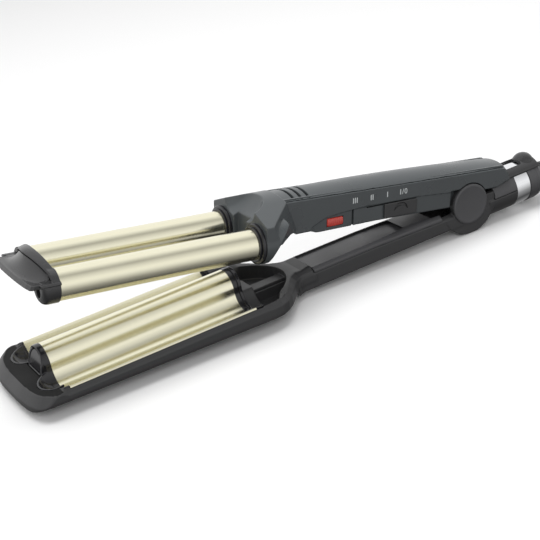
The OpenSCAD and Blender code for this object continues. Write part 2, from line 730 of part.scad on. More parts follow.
module tube_yoke() {
  color([0.22, 0.225, 0.235]) upper() difference() {
    union() {
      difference() {
        yoke_hull();
        // rear face meets the slanting front of the handle
        from_side(-far, far) polygon([[front_x + 1.5, -20], [front_x + 1.5, 2], [front_x, 5.3], [front_x - 7, 20.6],
          [front_x - 9.6, 30], [far, 30], [far, -20]]);
      }
      block(front_x - 8, front_x + 6, -inner_y + seat, inner_y - seat, 2 + wall, 16);
    }
    // gap between the two sockets, and the tunnel over the tray's bar
    block(yoke_x - 1, yoke_x + 3, -6.4, 6.4, -20, 15.4);
    block(yoke_x - 1, front_x - 5, -6.4, 6.4, -20, 1);
    // scooped recess on top
    translate([yoke_x - 2, 0, tube_z + 36.4]) sphere(r = 24, $fn = fine);
    both_sides() xcyl(yoke_x - 1, collar_x + tube_in + fit_play, tube_r + fit_play, pitch, tube_z);
    // room for the wires
    both_sides() xcyl(yoke_x, collar_x + tube_in + 4, tube_r - 2.4, pitch, tube_z);
    block(yoke_x + 7, collar_x + tube_in + 3, -pitch + 4, pitch - 4, 3.6, 9);
    block(yoke_x + 8, front_x + 7, -7, 7, 5.4, 13.6);
  }
}
module tube(side) {
  color([0.8, 0.76, 0.6]) upper() difference() {
    xcyl(tube_x0 - plug_in, collar_x + tube_in, tube_r, side * pitch, tube_z);
    xcyl(tube_x0 - far, 0, tube_r - tube_wall, side * pitch, tube_z);
  }
}
module tube_near() {
  tube(-1);
}
module tube_far() {
  tube(1);
}
module collar_ring(side) {
  color([0.06, 0.06, 0.065]) upper() translate([0, side * pitch, tube_z]) rotate([0, 90, 0])
    rotate_extrude($fn = fine) polygon([[tube_r + run_play, collar_x], [collar_r - 1.6, collar_x],
      [collar_r - 0.9, collar_x + 0.9], [collar_r - 0.9, collar_x + 1.3], [collar_r - 0.2, collar_x + 1.3],
      [collar_r, collar_x + 1.7], [collar_r, yoke_x], [tube_r + run_play, yoke_x]]);
}
module collar_ring_near() {
  collar_ring(-1);
}
module collar_ring_far() {
  collar_ring(1);
}
module tube_heater(side) {
  color([0.85, 0.84, 0.8]) upper() translate([0, side * pitch, tube_z]) {
    intersection() {
      xcyl(tube_x0 + 4, collar_x + 3, tube_r - tube_wall - seat);
      block(-400, 0, -far, far, -3.4, 3.4);
    }
    xcyl(collar_x + 2, collar_x + tube_in + 2, 1.6);
  }
}
module tube_heater_near() {
  tube_heater(-1);
}
module tube_heater_far() {
  tube_heater(1);
}
module front_cap() {
  hood_z = tube_z - 11;
  hood_R = 8.8 + pitch + 0.1;
  x0 = tube_x0 - 12;
  ledge_z = tube_z + 0.4;
  color([0.07, 0.07, 0.075]) upper() difference() {
    union() {
      both_sides() xcyl(x0, tube_x0, tube_r + hair_gap - 0.35, pitch, tube_z);
      // ledge along the foot of the front face
      intersection() {
        xcyl(x0 - 10, tube_x0 - 2.4, hood_R, 0, hood_z);
        from_top(tube_z - 1.8, ledge_z) ledge_plan(x0);
      }
      // hood, with a front face that leans back and bulges forward in its middle
      intersection() {
        xcyl(x0 - 10, tube_x0 - 2.4, hood_R, 0, hood_z);
        from_top(ledge_z - 0.1, 40) face_plan(x0);
        from_side(-far, far) polygon([[x0 - 3.2, ledge_z - 1], [x0 - 2.9, tube_z + 1.5], [x0 - 1.5, tube_z + 5.5],
          [x0 + 0.1, tube_z + 9.5], [x0 + 3, tube_z + 13.3], [x0 + 3.4, 40], [tube_x0, 40], [tube_x0, ledge_z - 1]]);
      }
    }
    // room over the ridge of the plate and its sloping end
    intersection() {
      xcyl(x0 - 12, tube_x0 + 1, ridge_r + 0.6, 0, tube_z);
      from_side(-far, far) polygon([[x0 - 12, tube_z - 20], [x0 - 12, tube_z - 1.9], [x0 - 2.4, tube_z - 1.9],
        [x0 + 1.15, tube_z + 9.5], [x0 + 1.15, 60], [0, 60], [0, -60]]);
    }
    block(x0 - 12, tube_x0 + 1, -ridge_r - 0.6, ridge_r + 0.6, -60, tube_z - 1.7);
    // seats of the two tubes
    both_sides() {
      xcyl(tube_x0 - plug_in - fit_play, 0, tube_r + fit_play, pitch, tube_z);
      xcyl(tube_x0 - 40, tube_x0 - plug_in - 2, tube_r - 4.4, pitch, tube_z - 2.2);
    }
  }
}
module ledge_plan(x0) {
  polygon([[tube_x0 - 2.4, -far], [x0 - 1, -far], [x0 - 1, -pitch - 6], [x0 - 3.6, -pitch + 1], [x0 - 7.4, -8],
    [x0 - 8.6, 0], [x0 - 7.4, 8], [x0 - 3.6, pitch - 1], [x0 - 1, pitch + 6], [x0 - 1, far], [tube_x0 - 2.4, far]]);
}
module face_plan(x0) {
  p = [[3.2, far], [3.2, 17.5], [0.4, 15], [-1.4, 12], [-2.4, 9], [-3, 5], [-3.2, 0]];
  polygon(concat([[tube_x0 - 2.4, far]], [for (q = p) [x0 + q[0], q[1]]],
    [for (i = [len(p) - 2 : -1 : 0]) [x0 + p[i][0], -p[i][1]]], [[tube_x0 - 2.4, -far]]));
}

// ---------------- small moving parts at the rear ----------------

module lock_slide() {
  x0 = band_x0 - 8;
  x1 = band_x1 + 9.4;
  color([0.13, 0.135, 0.14]) lower() {
    difference() {
      intersection() {
        union() {
          xcyl(x0, x1, saddle_r1, 0, barrel_z);
          intersection() {
            translate([band_x1 + 5, 0, barrel_z + 9.4]) sphere(r = 6.8, $fn = fine);
            block(band_x1 - 0.6, x1, -8.8, 8.8, 0, far);
          }
        }
        block(x0, x1, -9.4, 9.4, barrel_z, far);
      }
      xcyl(x0 - 1, x1 + 1, saddle_r0, 0, barrel_z);
      block(x0 - 1, band_x1 + 0.4, -4.9, 4.9, barrel_z, far);
    }
    // foot held in the collar's slot
    block(band_x1 + 0.8 + lock_travel + 0.3, band_x1 + 8.6, -1.9, 1.9, barrel_z + neck_r + 0.3, barrel_z + saddle_r1);
  }
}
module cord_swivel() {
  color([0.11, 0.11, 0.115]) lower() translate([0, 0, barrel_z]) rotate([0, 90, 0]) rotate_extrude($fn = fine)
    polygon([[cord_r, flange_x], [flange_r, flange_x], [flange_r, flange_x + 1.9], [stem_r, flange_x + 1.9],
      [stem_r, collar_end + 0.4], [stem_r + 1.8, collar_end + 0.4], [stem_r + 1.4, collar_end + 5],
      [stem_r - 0.6, collar_end + 10], [cord_r, collar_end + 10]]);
}

lower_shell();
wave_plate();
plate_front_cap();
plate_rear_cap();
plate_heater();
heater_clamp();
thermal_fuse();
tray_screws();
arm_cover();
barrel_cover();
barrel_screw();
bright_band();
end_collar();
hinge_pin();
hinge_disc_near();
hinge_disc_far();
hinge_spring();
upper_shell();
handle_base();
tube_yoke();
tube_near();
tube_far();
collar_ring_near();
collar_ring_far();
tube_heater_near();
tube_heater_far();
front_cap();
handle_screws();
lamp_lens();
lamp_body();
switch_body();
circuit_board();
switch_button();
lock_slide();
cord_swivel();
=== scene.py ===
"""The looks of a hair waver, built round its packed CAD frame.

Every piece is made in its arm's own frame, in millimetres: the hinge axis is the origin,
+X points to the rear end, -Y is the side of the switch and +Z is up when the arm lies level.
place() then takes it to the row frame, in metres.
"""

import math

import bmesh
import bpy
import numpy as np
from bpy.props import FloatProperty, FloatVectorProperty, PointerProperty
from mathutils import Matrix, Vector


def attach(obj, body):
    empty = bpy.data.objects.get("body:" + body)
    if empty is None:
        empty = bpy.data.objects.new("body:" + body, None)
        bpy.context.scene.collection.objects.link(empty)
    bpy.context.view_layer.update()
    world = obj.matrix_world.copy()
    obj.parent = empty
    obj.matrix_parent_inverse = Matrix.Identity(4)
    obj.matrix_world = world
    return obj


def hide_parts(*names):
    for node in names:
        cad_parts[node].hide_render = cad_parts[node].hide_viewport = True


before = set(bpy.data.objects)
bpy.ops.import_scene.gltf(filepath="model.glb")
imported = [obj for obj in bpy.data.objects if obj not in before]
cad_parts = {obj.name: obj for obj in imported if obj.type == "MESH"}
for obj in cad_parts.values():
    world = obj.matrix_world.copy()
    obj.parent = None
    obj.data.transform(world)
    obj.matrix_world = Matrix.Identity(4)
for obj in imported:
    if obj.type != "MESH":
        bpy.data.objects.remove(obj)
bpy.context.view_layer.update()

bl_info = {
    "name": "Hair waver",
    "version": (1, 0, 0),
    "blender": (4, 5, 0),
    "location": "View3D > Sidebar > Waver",
    "description": "Builds the finished pieces of a two-tube hair waver round its frame",
    "category": "Object",
}

MM = 0.001
DIAGONAL = 0.7071

# where the arms stand at rest
TILT = math.radians(1.455224)
OPENING = math.radians(10.07)
FOOT_X = -197.05
TRAY_BOTTOM = -13.1

# heated tubes and wave plate
TUBE_Z = 4.5
PITCH = 17.75
TROUGH_R = 8.9
RIDGE_R = 8.85
PLATE_T = 1.2
PLATE_X0 = -258.0
PLATE_X1 = -153.9
LIP_Y = 30.7
FLANK = math.radians(35)
TANGENT_Y = PITCH + TROUGH_R * math.sin(FLANK)
TANGENT_Z = TUBE_Z - TROUGH_R * math.cos(FLANK)

# yoke and handle
YOKE_X = -143.4
YOKE_HALF = 28.2
HALF_W = 12.0
INNER_Y = 10.2
BELLY_X = -13.7
TAIL_X = 33.0
TAIL_R = 16.5
POST_X = (-101.5, -24.0)
VENTS = (-116.2, -111.7, -107.2)

# tray and lower arm
NOSE_X = -278.6
TRAY_HALF = 33.5
POCKET_Z = -10.1
BOWL_X = -260.0
SEAT_END = -149.0
DECK_X = -262.5
ARM_FLOOR = -9.6
ARM_BOTTOM = -11.4
ARM_HALF = 11.4
COVER_T = 1.8
SCREW_X = (-245.6, -169.9)

# hinge and rear barrel
DISC_R = 11.8
LUG_R = 18.1
LUG_Y = 8.4
EAR_Y = (5, 8)
BARREL_Z = -4.4
BARREL_R = 12.0
BARREL_BORE = 9.8
SCREW_AHEAD = 8.0
BAND_X0 = 34.8
BAND_X1 = 44.8
NECK_R = 10.7
NECK_BORE = 8.8
NECK_END = 51.2
COLLAR_END = 57.6
END_R = 12.4

# switch and lamp
TRACK_X0 = -79.6
TRACK_X1 = -37.9
BUTTON_X0 = -59.95
BUTTON_LEN = 21.9
LAMP_X = (-96.8, -86.3)
LAMP_Z = 5.3

# printed marks: what they say and where along the handle
MARKS = (("III", -79.1), ("II", -68.2), ("I", -58.0), ("I", -49.3), ("/", -47.6), ("0", -45.7))
MARK_Z = 15.2
MARK_Y = (-11.9, -12.05)
MARK_WIDTH = 0.55
MARK_STEP = 1.2


# ---------------------------------------------------------------- placing


def turn(p, angle):
    """Points turned about the Y axis."""
    c, s = math.cos(angle), math.sin(angle)
    return np.stack([p[:, 0] * c + p[:, 2] * s, p[:, 1], -p[:, 0] * s + p[:, 2] * c], 1)


def place(points, arm):
    """Points in millimetres in an arm's frame, taken to the row frame in metres."""
    p = np.asarray(points, float).reshape(-1, 3)
    if arm == "upper":
        p = turn(p, OPENING)
    return turn(p - [FOOT_X, 0, TRAY_BOTTOM], -TILT) * MM


def point_way(normals, arm):
    """Directions taken to the row frame."""
    return turn(turn(normals, OPENING) if arm == "upper" else normals, -TILT)


# ---------------------------------------------------------------- solid shapes as distance fields


def smax(a, b, k):
    """The larger of two fields, with a rounded edge where they cross."""
    h = np.maximum(k - np.abs(a - b), 0.0)
    return np.maximum(a, b) + h * h / (4 * k)


def smin(a, b, k):
    """The smaller of two fields, with a rounded edge where they cross."""
    return -smax(-a, -b, k)


def both(k, *fields):
    """Where all the fields are inside."""
    out = fields[0]
    for f in fields[1:]:
        out = smax(out, f, k)
    return out


def joined(k, *fields):
    """Where any of the fields is inside."""
    out = fields[0]
    for f in fields[1:]:
        out = smin(out, f, k)
    return out


def length(*parts):
    return np.sqrt(sum(p * p for p in parts))


def slab(t, low, high):
    """Distance out of the space between two planes."""
    return np.abs(t - (low + high) / 2) - (high - low) / 2


def block(x, y, z, xr, yr, zr, r=0.3):
    """A box with rounded edges."""
    q = [slab(c, *span) + r for c, span in zip((x, y, z), (xr, yr, zr))]
    inside = np.minimum(np.maximum(np.maximum(q[0], q[1]), q[2]), 0)
    return length(*[np.maximum(c, 0) for c in q]) + inside - r


def outline(u, v, points):
    """Distance to a closed flat outline, negative inside."""
    pts = np.asarray(points, float)
    best, inside = np.inf, False
    for (ax, ay), (bx, by) in zip(pts, np.roll(pts, -1, 0)):
        ex, ey = bx - ax, by - ay
        wx, wy = u - ax, v - ay
        t = np.clip((wx * ex + wy * ey) / (ex * ex + ey * ey), 0, 1)
        best = np.minimum(best, (wx - ex * t) ** 2 + (wy - ey * t) ** 2)
        if ey:
            inside = inside ^ (((ay > v) != (by > v)) & (u < ax + ex * (v - ay) / ey))
    return np.where(inside, -1.0, 1.0) * np.sqrt(best)


def mirrored_half(points):
    """An outline that lies on the +Y side and closes over the middle plane."""
    return list(points) + [(points[-1][0], -90.0), (points[0][0], -90.0)]


def tube_r(a, z):
    """Distance from a tube's axis; a is the distance from the middle plane."""
    return length(a - PITCH, z - TUBE_Z)


def barrel_r(y, z):
    """Distance from the axis of the rear barrel."""
    return length(y, z - BARREL_Z)


def lowered(x, z):
    """A point of the upper arm at rest, as x and z in the lower arm's frame."""
    c, s = math.cos(OPENING), math.sin(OPENING)
    return x * c + z * s, -x * s + z * c


def wave(y, z):
    """Height over the top face of the wave plate: negative below it."""
    a = np.abs(y)
    ridge = length(a, z - TUBE_Z) - RIDGE_R
    trough = TROUGH_R - length(a - PITCH, z - TUBE_Z)
    c, s = math.cos(FLANK), math.sin(FLANK)
    along = (a - TANGENT_Y) * c + (z - TANGENT_Z) * s
    above = -(a - TANGENT_Y) * s + (z - TANGENT_Z) * c
    d = np.where(z < TUBE_Z, trough, ridge)
    return np.where((along > 0) & (a > PITCH), np.where(z < TUBE_Z, above, np.minimum(above, ridge)), d)


def ticks(*marks):
    """Grid lines: start, step, next mark, step, ... end."""
    out = []
    for a, step, b in zip(marks[:-2:2], marks[1::2], marks[2::2]):
        out.append(np.linspace(a, b, max(1, round((b - a) / step)) + 1)[:-1])
    return np.concatenate(out + [[marks[-1]]])


def even(*marks):
    """Grid lines on both sides of the middle plane, from marks on the +Y side."""
    right = ticks(*marks)
    return np.concatenate([-right[::-1], right])


def net(field, lines):
    """A closed mesh on the field's zero surface, one point for each grid cell that it crosses."""
    grid = field(lines[0][:, None, None], lines[1][None, :, None], lines[2][None, None, :])
    grid = np.broadcast_to(grid, [len(a) for a in lines])
    cells = [len(a) - 1 for a in lines]
    rings, points = [], []
    for axis in range(3):
        b, c = (axis + 1) % 3, (axis + 2) % 3
        low, high = [slice(None)] * 3, [slice(None)] * 3
        low[axis], high[axis] = slice(0, -1), slice(1, None)
        low[b] = high[b] = low[c] = high[c] = slice(1, -1)
        f0, f1 = grid[tuple(low)], grid[tuple(high)]
        where = np.nonzero((f0 < 0) != (f1 < 0))
        f0, f1 = f0[where], f1[where]
        at = [w + (k != axis) for k, w in enumerate(where)]
        t = f0 / (f0 - f1)
        p = np.empty((len(t), 3))
        p[:, axis] = lines[axis][at[axis]] * (1 - t) + lines[axis][at[axis] + 1] * t
        p[:, b], p[:, c] = lines[b][at[b]], lines[c][at[c]]
        ring = []
        for db, dc in ((-1, -1), (0, -1), (0, 0), (-1, 0)):
            cell = list(at)
            cell[b], cell[c] = at[b] + db, at[c] + dc
            ring.append((cell[0] * cells[1] + cell[1]) * cells[2] + cell[2])
        ring = np.stack(ring, 1)
        ring[f0 >= 0] = ring[f0 >= 0][:, ::-1]
        rings.append(ring)
        points.append(np.repeat(p, 4, 0))
    rings, points = np.concatenate(rings), np.concatenate(points)
    place_of = np.unique(rings.ravel(), return_inverse=True)[1]
    count = np.bincount(place_of)
    verts = np.stack([np.bincount(place_of, points[:, k]) / count for k in range(3)], 1)
    return verts, place_of.reshape(-1, 4)


def slope(field, p, h=0.03):
    """The field's gradient at each point."""
    out = np.empty_like(p)
    for k in range(3):
        step = np.zeros(3)
        step[k] = h
        a, b = p + step, p - step
        out[:, k] = (field(a[:, 0], a[:, 1], a[:, 2]) - field(b[:, 0], b[:, 1], b[:, 2])) / (2 * h)
    return out


def settle(field, p, rounds, most):
    """Moves points onto the field's zero surface."""
    for _ in range(rounds):
        g = slope(field, p)
        d = field(p[:, 0], p[:, 1], p[:, 2])
        move = g * (d / np.maximum((g * g).sum(1), 0.05))[:, None]
        size = np.sqrt((move * move).sum(1))
        p = p - move * np.minimum(1, most / np.maximum(size, 1e-9))[:, None]
    return p


# ---------------------------------------------------------------- meshes


def new_object(name, mesh):
    obj = bpy.data.objects.new(name, mesh)
    bpy.context.scene.collection.objects.link(obj)
    return obj


def mesh_of(name, verts, faces):
    mesh = bpy.data.meshes.new(name)
    mesh.from_pydata([tuple(v) for v in verts], [], faces)
    mesh.validate(clean_customdata=False)
    return mesh


def quad_mesh(name, verts, quads):
    """A mesh of four-sided faces from arrays."""
    mesh = bpy.data.meshes.new(name)
    mesh.vertices.add(len(verts))
    mesh.vertices.foreach_set("co", np.asarray(verts, np.float32).ravel())
    mesh.loops.add(quads.size)
    mesh.loops.foreach_set("vertex_index", quads.astype(np.int32).ravel())
    mesh.polygons.add(len(quads))
    mesh.polygons.foreach_set("loop_start", np.arange(0, quads.size, 4, dtype=np.int32))
    mesh.update(calc_edges=True)
    return mesh


def points_of(obj):
    """A mesh's points in millimetres."""
    return np.array([v.co[:] for v in obj.data.vertices]) / MM


def put(mesh, points, arm):
    """Moves a mesh's points to places given in millimetres in an arm's frame."""
    mesh.vertices.foreach_set("co", place(points, arm).astype(np.float32).ravel())


def plain(obj):
    """The object's evaluated mesh in place of its modifiers."""
    graph = bpy.context.evaluated_depsgraph_get()
    mesh = bpy.data.meshes.new_from_object(obj.evaluated_get(graph))
    old = obj.data
    obj.modifiers.clear()
    obj.data = mesh
    bpy.data.meshes.remove(old)
    mesh.name = obj.name
    return obj


def solid(name, field, lines, arm, keep=1.0):
    """A piece from a distance field; keep is the share of its faces that stays where it is flat."""
    verts, quads = net(field, lines)
    verts = settle(field, verts, 2, 0.25)
    obj = new_object(name, quad_mesh(name, verts, quads))
    if keep < 1:
        mod = obj.modifiers.new("fewer faces", "DECIMATE")
        mod.ratio = keep
        plain(obj)
    mesh = obj.data
    co = np.empty(len(mesh.vertices) * 3, np.float32)
    mesh.vertices.foreach_get("co", co)
    verts = settle(field, co.reshape(-1, 3).astype(float), 1, 0.1)
    g = slope(field, verts)
    g /= np.maximum(np.sqrt((g * g).sum(1)), 1e-9)[:, None]
    put(mesh, verts, arm)
    mesh.polygons.foreach_set("use_smooth", np.ones(len(mesh.polygons), bool))
    mesh.update()
    mesh.normals_split_custom_set_from_vertices(point_way(g, arm).tolist())
    return obj


def soften(points, radius, steps=4):
    """Rounds the corners of a closed outline; radius is one number or one for each corner."""
    pts = [np.array(p, float) for p in points]
    radii = radius if isinstance(radius, (list, tuple)) else [radius] * len(pts)
    out = []
    for i, p in enumerate(pts):
        a, b = pts[i - 1] - p, pts[(i + 1) % len(pts)] - p
        la, lb = np.linalg.norm(a), np.linalg.norm(b)
        if radii[i] <= 0:
            out.append(p)
            continue
        half = math.acos(max(-1, min(1, float(a @ b) / (la * lb)))) / 2
        d = min(radii[i] / max(math.tan(half), 1e-6), 0.45 * la, 0.45 * lb)
        a, b = p + a / la * d, p + b / lb * d
        for t in np.linspace(0, 1, steps + 1):
            out.append(a * (1 - t) ** 2 + p * 2 * t * (1 - t) + b * t * t)
    return out


def tidy_mesh(mesh, angle=35):
    """Merges doubles, turns faces outwards and keeps edges sharper than the angle."""
    bm = bmesh.new()
    bm.from_mesh(mesh)
    bmesh.ops.remove_doubles(bm, verts=bm.verts, dist=1e-7)
    bmesh.ops.recalc_face_normals(bm, faces=bm.faces)
    bm.to_mesh(mesh)
    bm.free()
    mesh.polygons.foreach_set("use_smooth", np.ones(len(mesh.polygons), bool))
    mesh.set_sharp_from_angle(angle=math.radians(angle))
    mesh.update()
    return mesh


def lathe(name, profile, arm, centre=(0, 0), along="x", steps=96, angle=35):
    """A turned piece: a closed profile of (place on the axis, radius) round an axis along x or y.
    centre is the axis's other two coordinates."""
    pts = np.asarray(profile, float)
    n = len(pts)
    verts = []
    for j in range(steps):
        a = 2 * math.pi * j / steps
        for s, r in pts:
            u, v = centre[0] + r * math.cos(a), centre[1] + r * math.sin(a)
            verts.append((s, u, v) if along == "x" else (u, s, v))
    faces = []
    for j in range(steps):
        k = (j + 1) % steps
        for i in range(n):
            m = (i + 1) % n
            faces.append((j * n + i, j * n + m, k * n + m, k * n + i))
    mesh = mesh_of(name, place(verts, arm), faces)
    return new_object(name, tidy_mesh(mesh, angle))


def finish(obj, body, slot, material, *nodes):
    """Gives a finished piece its material, its body and the nodes that it stands for."""
    obj.data.materials.clear()
    obj.data.materials.append(materials()[material])
    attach(obj, body)
    if nodes:
        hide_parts(*nodes)


def carve(name, field, lines, body, slot, material, node, keep=1.0):
    """Makes a piece from its field in the frame of its body's arm, and finishes it."""
    arm = "upper" if body in ("upper_arm", "switch_button") else "lower"
    obj = solid(name, field, lines, arm, keep)
    finish(obj, body, slot, material, node)
    return obj


# ---------------------------------------------------------------- materials


def linear(hex_code):
    """An sRGB hex colour as linear RGBA."""
    rgb = [int(hex_code[i : i + 2], 16) / 255 for i in (1, 3, 5)]
    return [c / 12.92 if c <= 0.04045 else ((c + 0.055) / 1.055) ** 2.4 for c in rgb] + [1.0]


def add(tree, kind, inputs=None, **settings):
    """Adds a node, with its settings and with a value or a link for each named input."""
    node = tree.nodes.new(kind)
    for key, value in settings.items():
        setattr(node, key, value)
    for socket, value in (inputs or {}).items():
        if isinstance(value, bpy.types.NodeSocket):
            tree.links.new(value, node.inputs[socket])
        else:
            node.inputs[socket].default_value = value
    return node


def surface(name, colour, rough, metallic=0.0, ior=1.5, grain=0.35, depth=0.02, vary=0.06, shift=0.12,
            stretch=(1, 1, 1), coat=0.0, emission=None, tilt=0.0):
    """A finish with a fine grain in its relief and slow changes in its colour and gloss.
    grain and depth are in millimetres; vary is the change in roughness, shift the change in colour."""
    mat = bpy.data.materials.new(name)
    mat.use_nodes = True
    tree = mat.node_tree
    tree.nodes.clear()
    where = add(tree, "ShaderNodeTexCoord").outputs["Object"]
    turned = add(tree, "ShaderNodeMapping", {"Vector": where, "Rotation": (0, tilt, 0), "Scale": stretch},
                 vector_type="TEXTURE").outputs[0]
    fine = add(tree, "ShaderNodeTexNoise", {
        "Vector": turned, "Scale": 1 / (grain * MM), "Detail": 2.0, "Roughness": 0.6})
    slow = add(tree, "ShaderNodeTexNoise", {"Vector": where, "Scale": 60.0, "Detail": 3.0})
    base = linear(colour)
    dark = [c * (1 - shift) for c in base[:3]] + [1.0]
    light = [min(1.0, c * (1 + shift)) for c in base[:3]] + [1.0]
    tint = add(tree, "ShaderNodeMix", {"Factor": slow.outputs["Fac"], 6: dark, 7: light}, data_type="RGBA")
    gloss = add(tree, "ShaderNodeMapRange", {
        "Value": slow.outputs["Fac"], "From Min": 0.3, "From Max": 0.7,
        "To Min": max(0.02, rough - vary), "To Max": rough + vary})
    bump = add(tree, "ShaderNodeBump", {
        "Height": fine.outputs["Fac"], "Strength": 1.0, "Distance": depth * MM})
    shader = add(tree, "ShaderNodeBsdfPrincipled", {
        "Base Color": tint.outputs[2], "Roughness": gloss.outputs["Result"],
        "Normal": bump.outputs["Normal"], "Metallic": metallic, "Coat Weight": coat, "Coat Roughness": 0.08})
    if not metallic:
        shader.inputs["IOR"].default_value = ior
    if emission:
        shader.inputs["Emission Color"].default_value = linear(emission[0])
        shader.inputs["Emission Strength"].default_value = emission[1]
    add(tree, "ShaderNodeOutputMaterial", {"Surface": shader.outputs["BSDF"]})
    return mat


def hex_of(colour):
    """A finish's colour as an sRGB hex code: given as one, or as a colour of the look and its share."""
    if isinstance(colour, str):
        return colour
    name, share = colour
    return "#" + "".join(f"{round(c * share * 255):02X}" for c in getattr(bpy.context.scene.waver_look, name))


def materials():
    """The finishes, made once and kept by name."""
    found = {m.name: m for m in bpy.data.materials if m.name in FINISHES}
    for name, (colour, rough, settings) in FINISHES.items():
        if name not in found:
            found[name] = surface(name, hex_of(colour), rough, **settings)
    return found


BRUSHED = {"metallic": 1.0, "grain": 0.5, "vary": 0.03, "shift": 0.03, "stretch": (25, 1, 1)}

# each finish's colour, roughness and other settings
FINISHES = {
    # glass-filled nylon, moulded in a lightly spark-eroded tool: even satin grey-black with a soft sheen
    "moulded_nylon_handle": (("handle", 1.0), 0.3, {"grain": 0.4, "depth": 0.012}),
    # the same nylon from a coarser tool: duller and a little darker
    "moulded_nylon_tray": (("tray", 1.0), 0.44, {"grain": 0.45, "depth": 0.016}),
    # the same nylon on the arm's cover, the barrel and the hinge caps: as dull as the tray, with its colour
    # lightened as painted light
    "moulded_nylon_cover": (("tray", 1.45), 0.4, {"grain": 0.45, "depth": 0.016}),
    # the same nylon, matt and textured, with its colour darkened as painted shade for the nose's flat
    # up-facing deck
    "spark_eroded_deck": (("tray", 0.6), 0.55, {"ior": 1.18, "grain": 0.5, "depth": 0.03}),
    # the slide button and the turning inlet: the darkest, smoothest of the nylon parts
    "moulded_nylon_button": (("hood", 1.0), 0.33, {"grain": 0.3, "depth": 0.01}),
    # heat-proof phenolic from a polished tool: deep black with clear reflections
    "polished_phenolic_caps": (("caps", 1.0), 0.14, {"grain": 1.4, "depth": 0.006, "vary": 0.04}),
    # the same phenolic from a satin tool, on the hood and the lock: black with soft reflections
    "satin_phenolic_cap": (("hood", 1.0), 0.26, {"grain": 0.6, "depth": 0.008, "vary": 0.05}),
    # aluminium, brushed lengthwise, with a titanium-nitride coloured coating: pale gold, soft stripes
    "brushed_gold_coating": (("gold", 1.0), 0.23, {**BRUSHED, "depth": 0.0035, "tilt": -TILT}),
    # the same coating on the drawn tubes
    "brushed_gold_tube": (("gold", 1.0), 0.21, {**BRUSHED, "depth": 0.003, "tilt": OPENING - TILT}),
    # chromium plate on moulded ABS: mirror-like with a faint haze
    "chromium_plate": ("#E9EAEC", 0.08, {"metallic": 1.0, "grain": 2.0, "depth": 0.003, "vary": 0.03,
                                         "shift": 0.02}),
    # tinted polycarbonate light guide, lit from inside: saturated red with a bright rim
    "red_polycarbonate_lens": (("lens", 1.0), 0.2, {"ior": 1.585, "grain": 0.9, "depth": 0.02, "vary": 0.04,
                                                    "coat": 0.4, "emission": ("#E02810", 0.03)}),
    # pad-printed two-part ink: matt off-white with slightly uneven cover
    "white_pad_print": ("#D9DDDD", 0.55, {"grain": 0.2, "depth": 0.008, "shift": 0.08}),
    # zinc-plated steel screws and pin
    "zinc_plated_steel": ("#A9ABAD", 0.3, {"metallic": 1.0, "grain": 0.5, "depth": 0.006, "shift": 0.08}),
    # oil-tempered spring wire, drawn: dark blue-grey metal
    "tempered_spring_wire": ("#6F737A", 0.34, {"metallic": 1.0, "grain": 0.3, "depth": 0.006, "shift": 0.1}),
    # pressed alumina round the heating wire: chalky off-white
    "sintered_alumina": ("#DEDBD2", 0.75, {"grain": 0.3, "depth": 0.02, "shift": 0.05}),
    # rolled brass of the fuse and contacts
    "rolled_brass": ("#C9A860", 0.3, {"metallic": 1.0, "grain": 0.6, "depth": 0.005, "shift": 0.08}),
    # PBT of the switch and the lamp holder
    "moulded_pbt_ivory": ("#D8D2C0", 0.5, {"grain": 0.35, "depth": 0.012, "shift": 0.05}),
    # glass-fibre board under green solder resist, with its weave just showing
    "green_solder_resist": ("#1E5A38", 0.3, {"grain": 0.7, "depth": 0.01, "shift": 0.2, "coat": 0.3}),
}


# ---------------------------------------------------------------- upper arm


def handle_front(z):
    """Where the slanting front of the handle is at height z."""
    return -121.2 + (18.9 - z) * 0.394


def seam_z(x):
    """Height of the seam between the handle's two shells."""
    return 18.02 - x * math.tan(math.radians(1.4))


def crown_top(x):
    """Height of the handle's top line, a long flat arc."""
    return 23.82 - (x + 88) ** 2 / 2862


def arch(x, y, z, drop=0.0):
    """The arched top of the handle; drop lowers it."""
    seam, top = seam_z(x), crown_top(x)
    h = top - seam + 0.5
    half = HALF_W + 0.12
    r = (half**2 + h * h) / (2 * h)
    return length(y, z - top + r) - r + drop


def tail_end(x, y, z):
    """The rounded rear end of the handle."""
    out = x + 4.3 * (np.abs(y) / HALF_W) ** 2.5 - TAIL_R
    return np.where(out > 0, length(np.maximum(out, 0), np.maximum(z - 5.5, 0)) - TAIL_R, -4.0)


def barrel_room(x, y, z, r):
    """Distance into the room round the rear barrel, from the upper arm at rest."""
    low_x, low_z = lowered(x, z)
    return both(0.4, length(y, np.maximum(low_z - BARREL_Z, 0)) - r, 8 - low_x)


def top_shell(x, y, z):
    """The upper half of the handle, with its three vents."""
    outer = both(0.4, arch(x, y, z), np.abs(y) - HALF_W, tail_end(x, y, z))
    body = both(0.25, outer, seam_z(x) + 0.1 - z, handle_front(z) - 1.5 - x)
    inner = both(0.5, arch(x, y, z, 1.8), np.abs(y) - INNER_Y, x - TAIL_X + 8)
    body = np.maximum(body, -inner)
    for xc in VENTS:
        slot = length(np.maximum(np.abs(y) - 9.6, 0), x - xc) - 0.82
        body = smax(body, -np.maximum(slot, 17.5 - z), 0.35)
    return smax(body, -barrel_room(x, y, z, 13.9), 0.4)


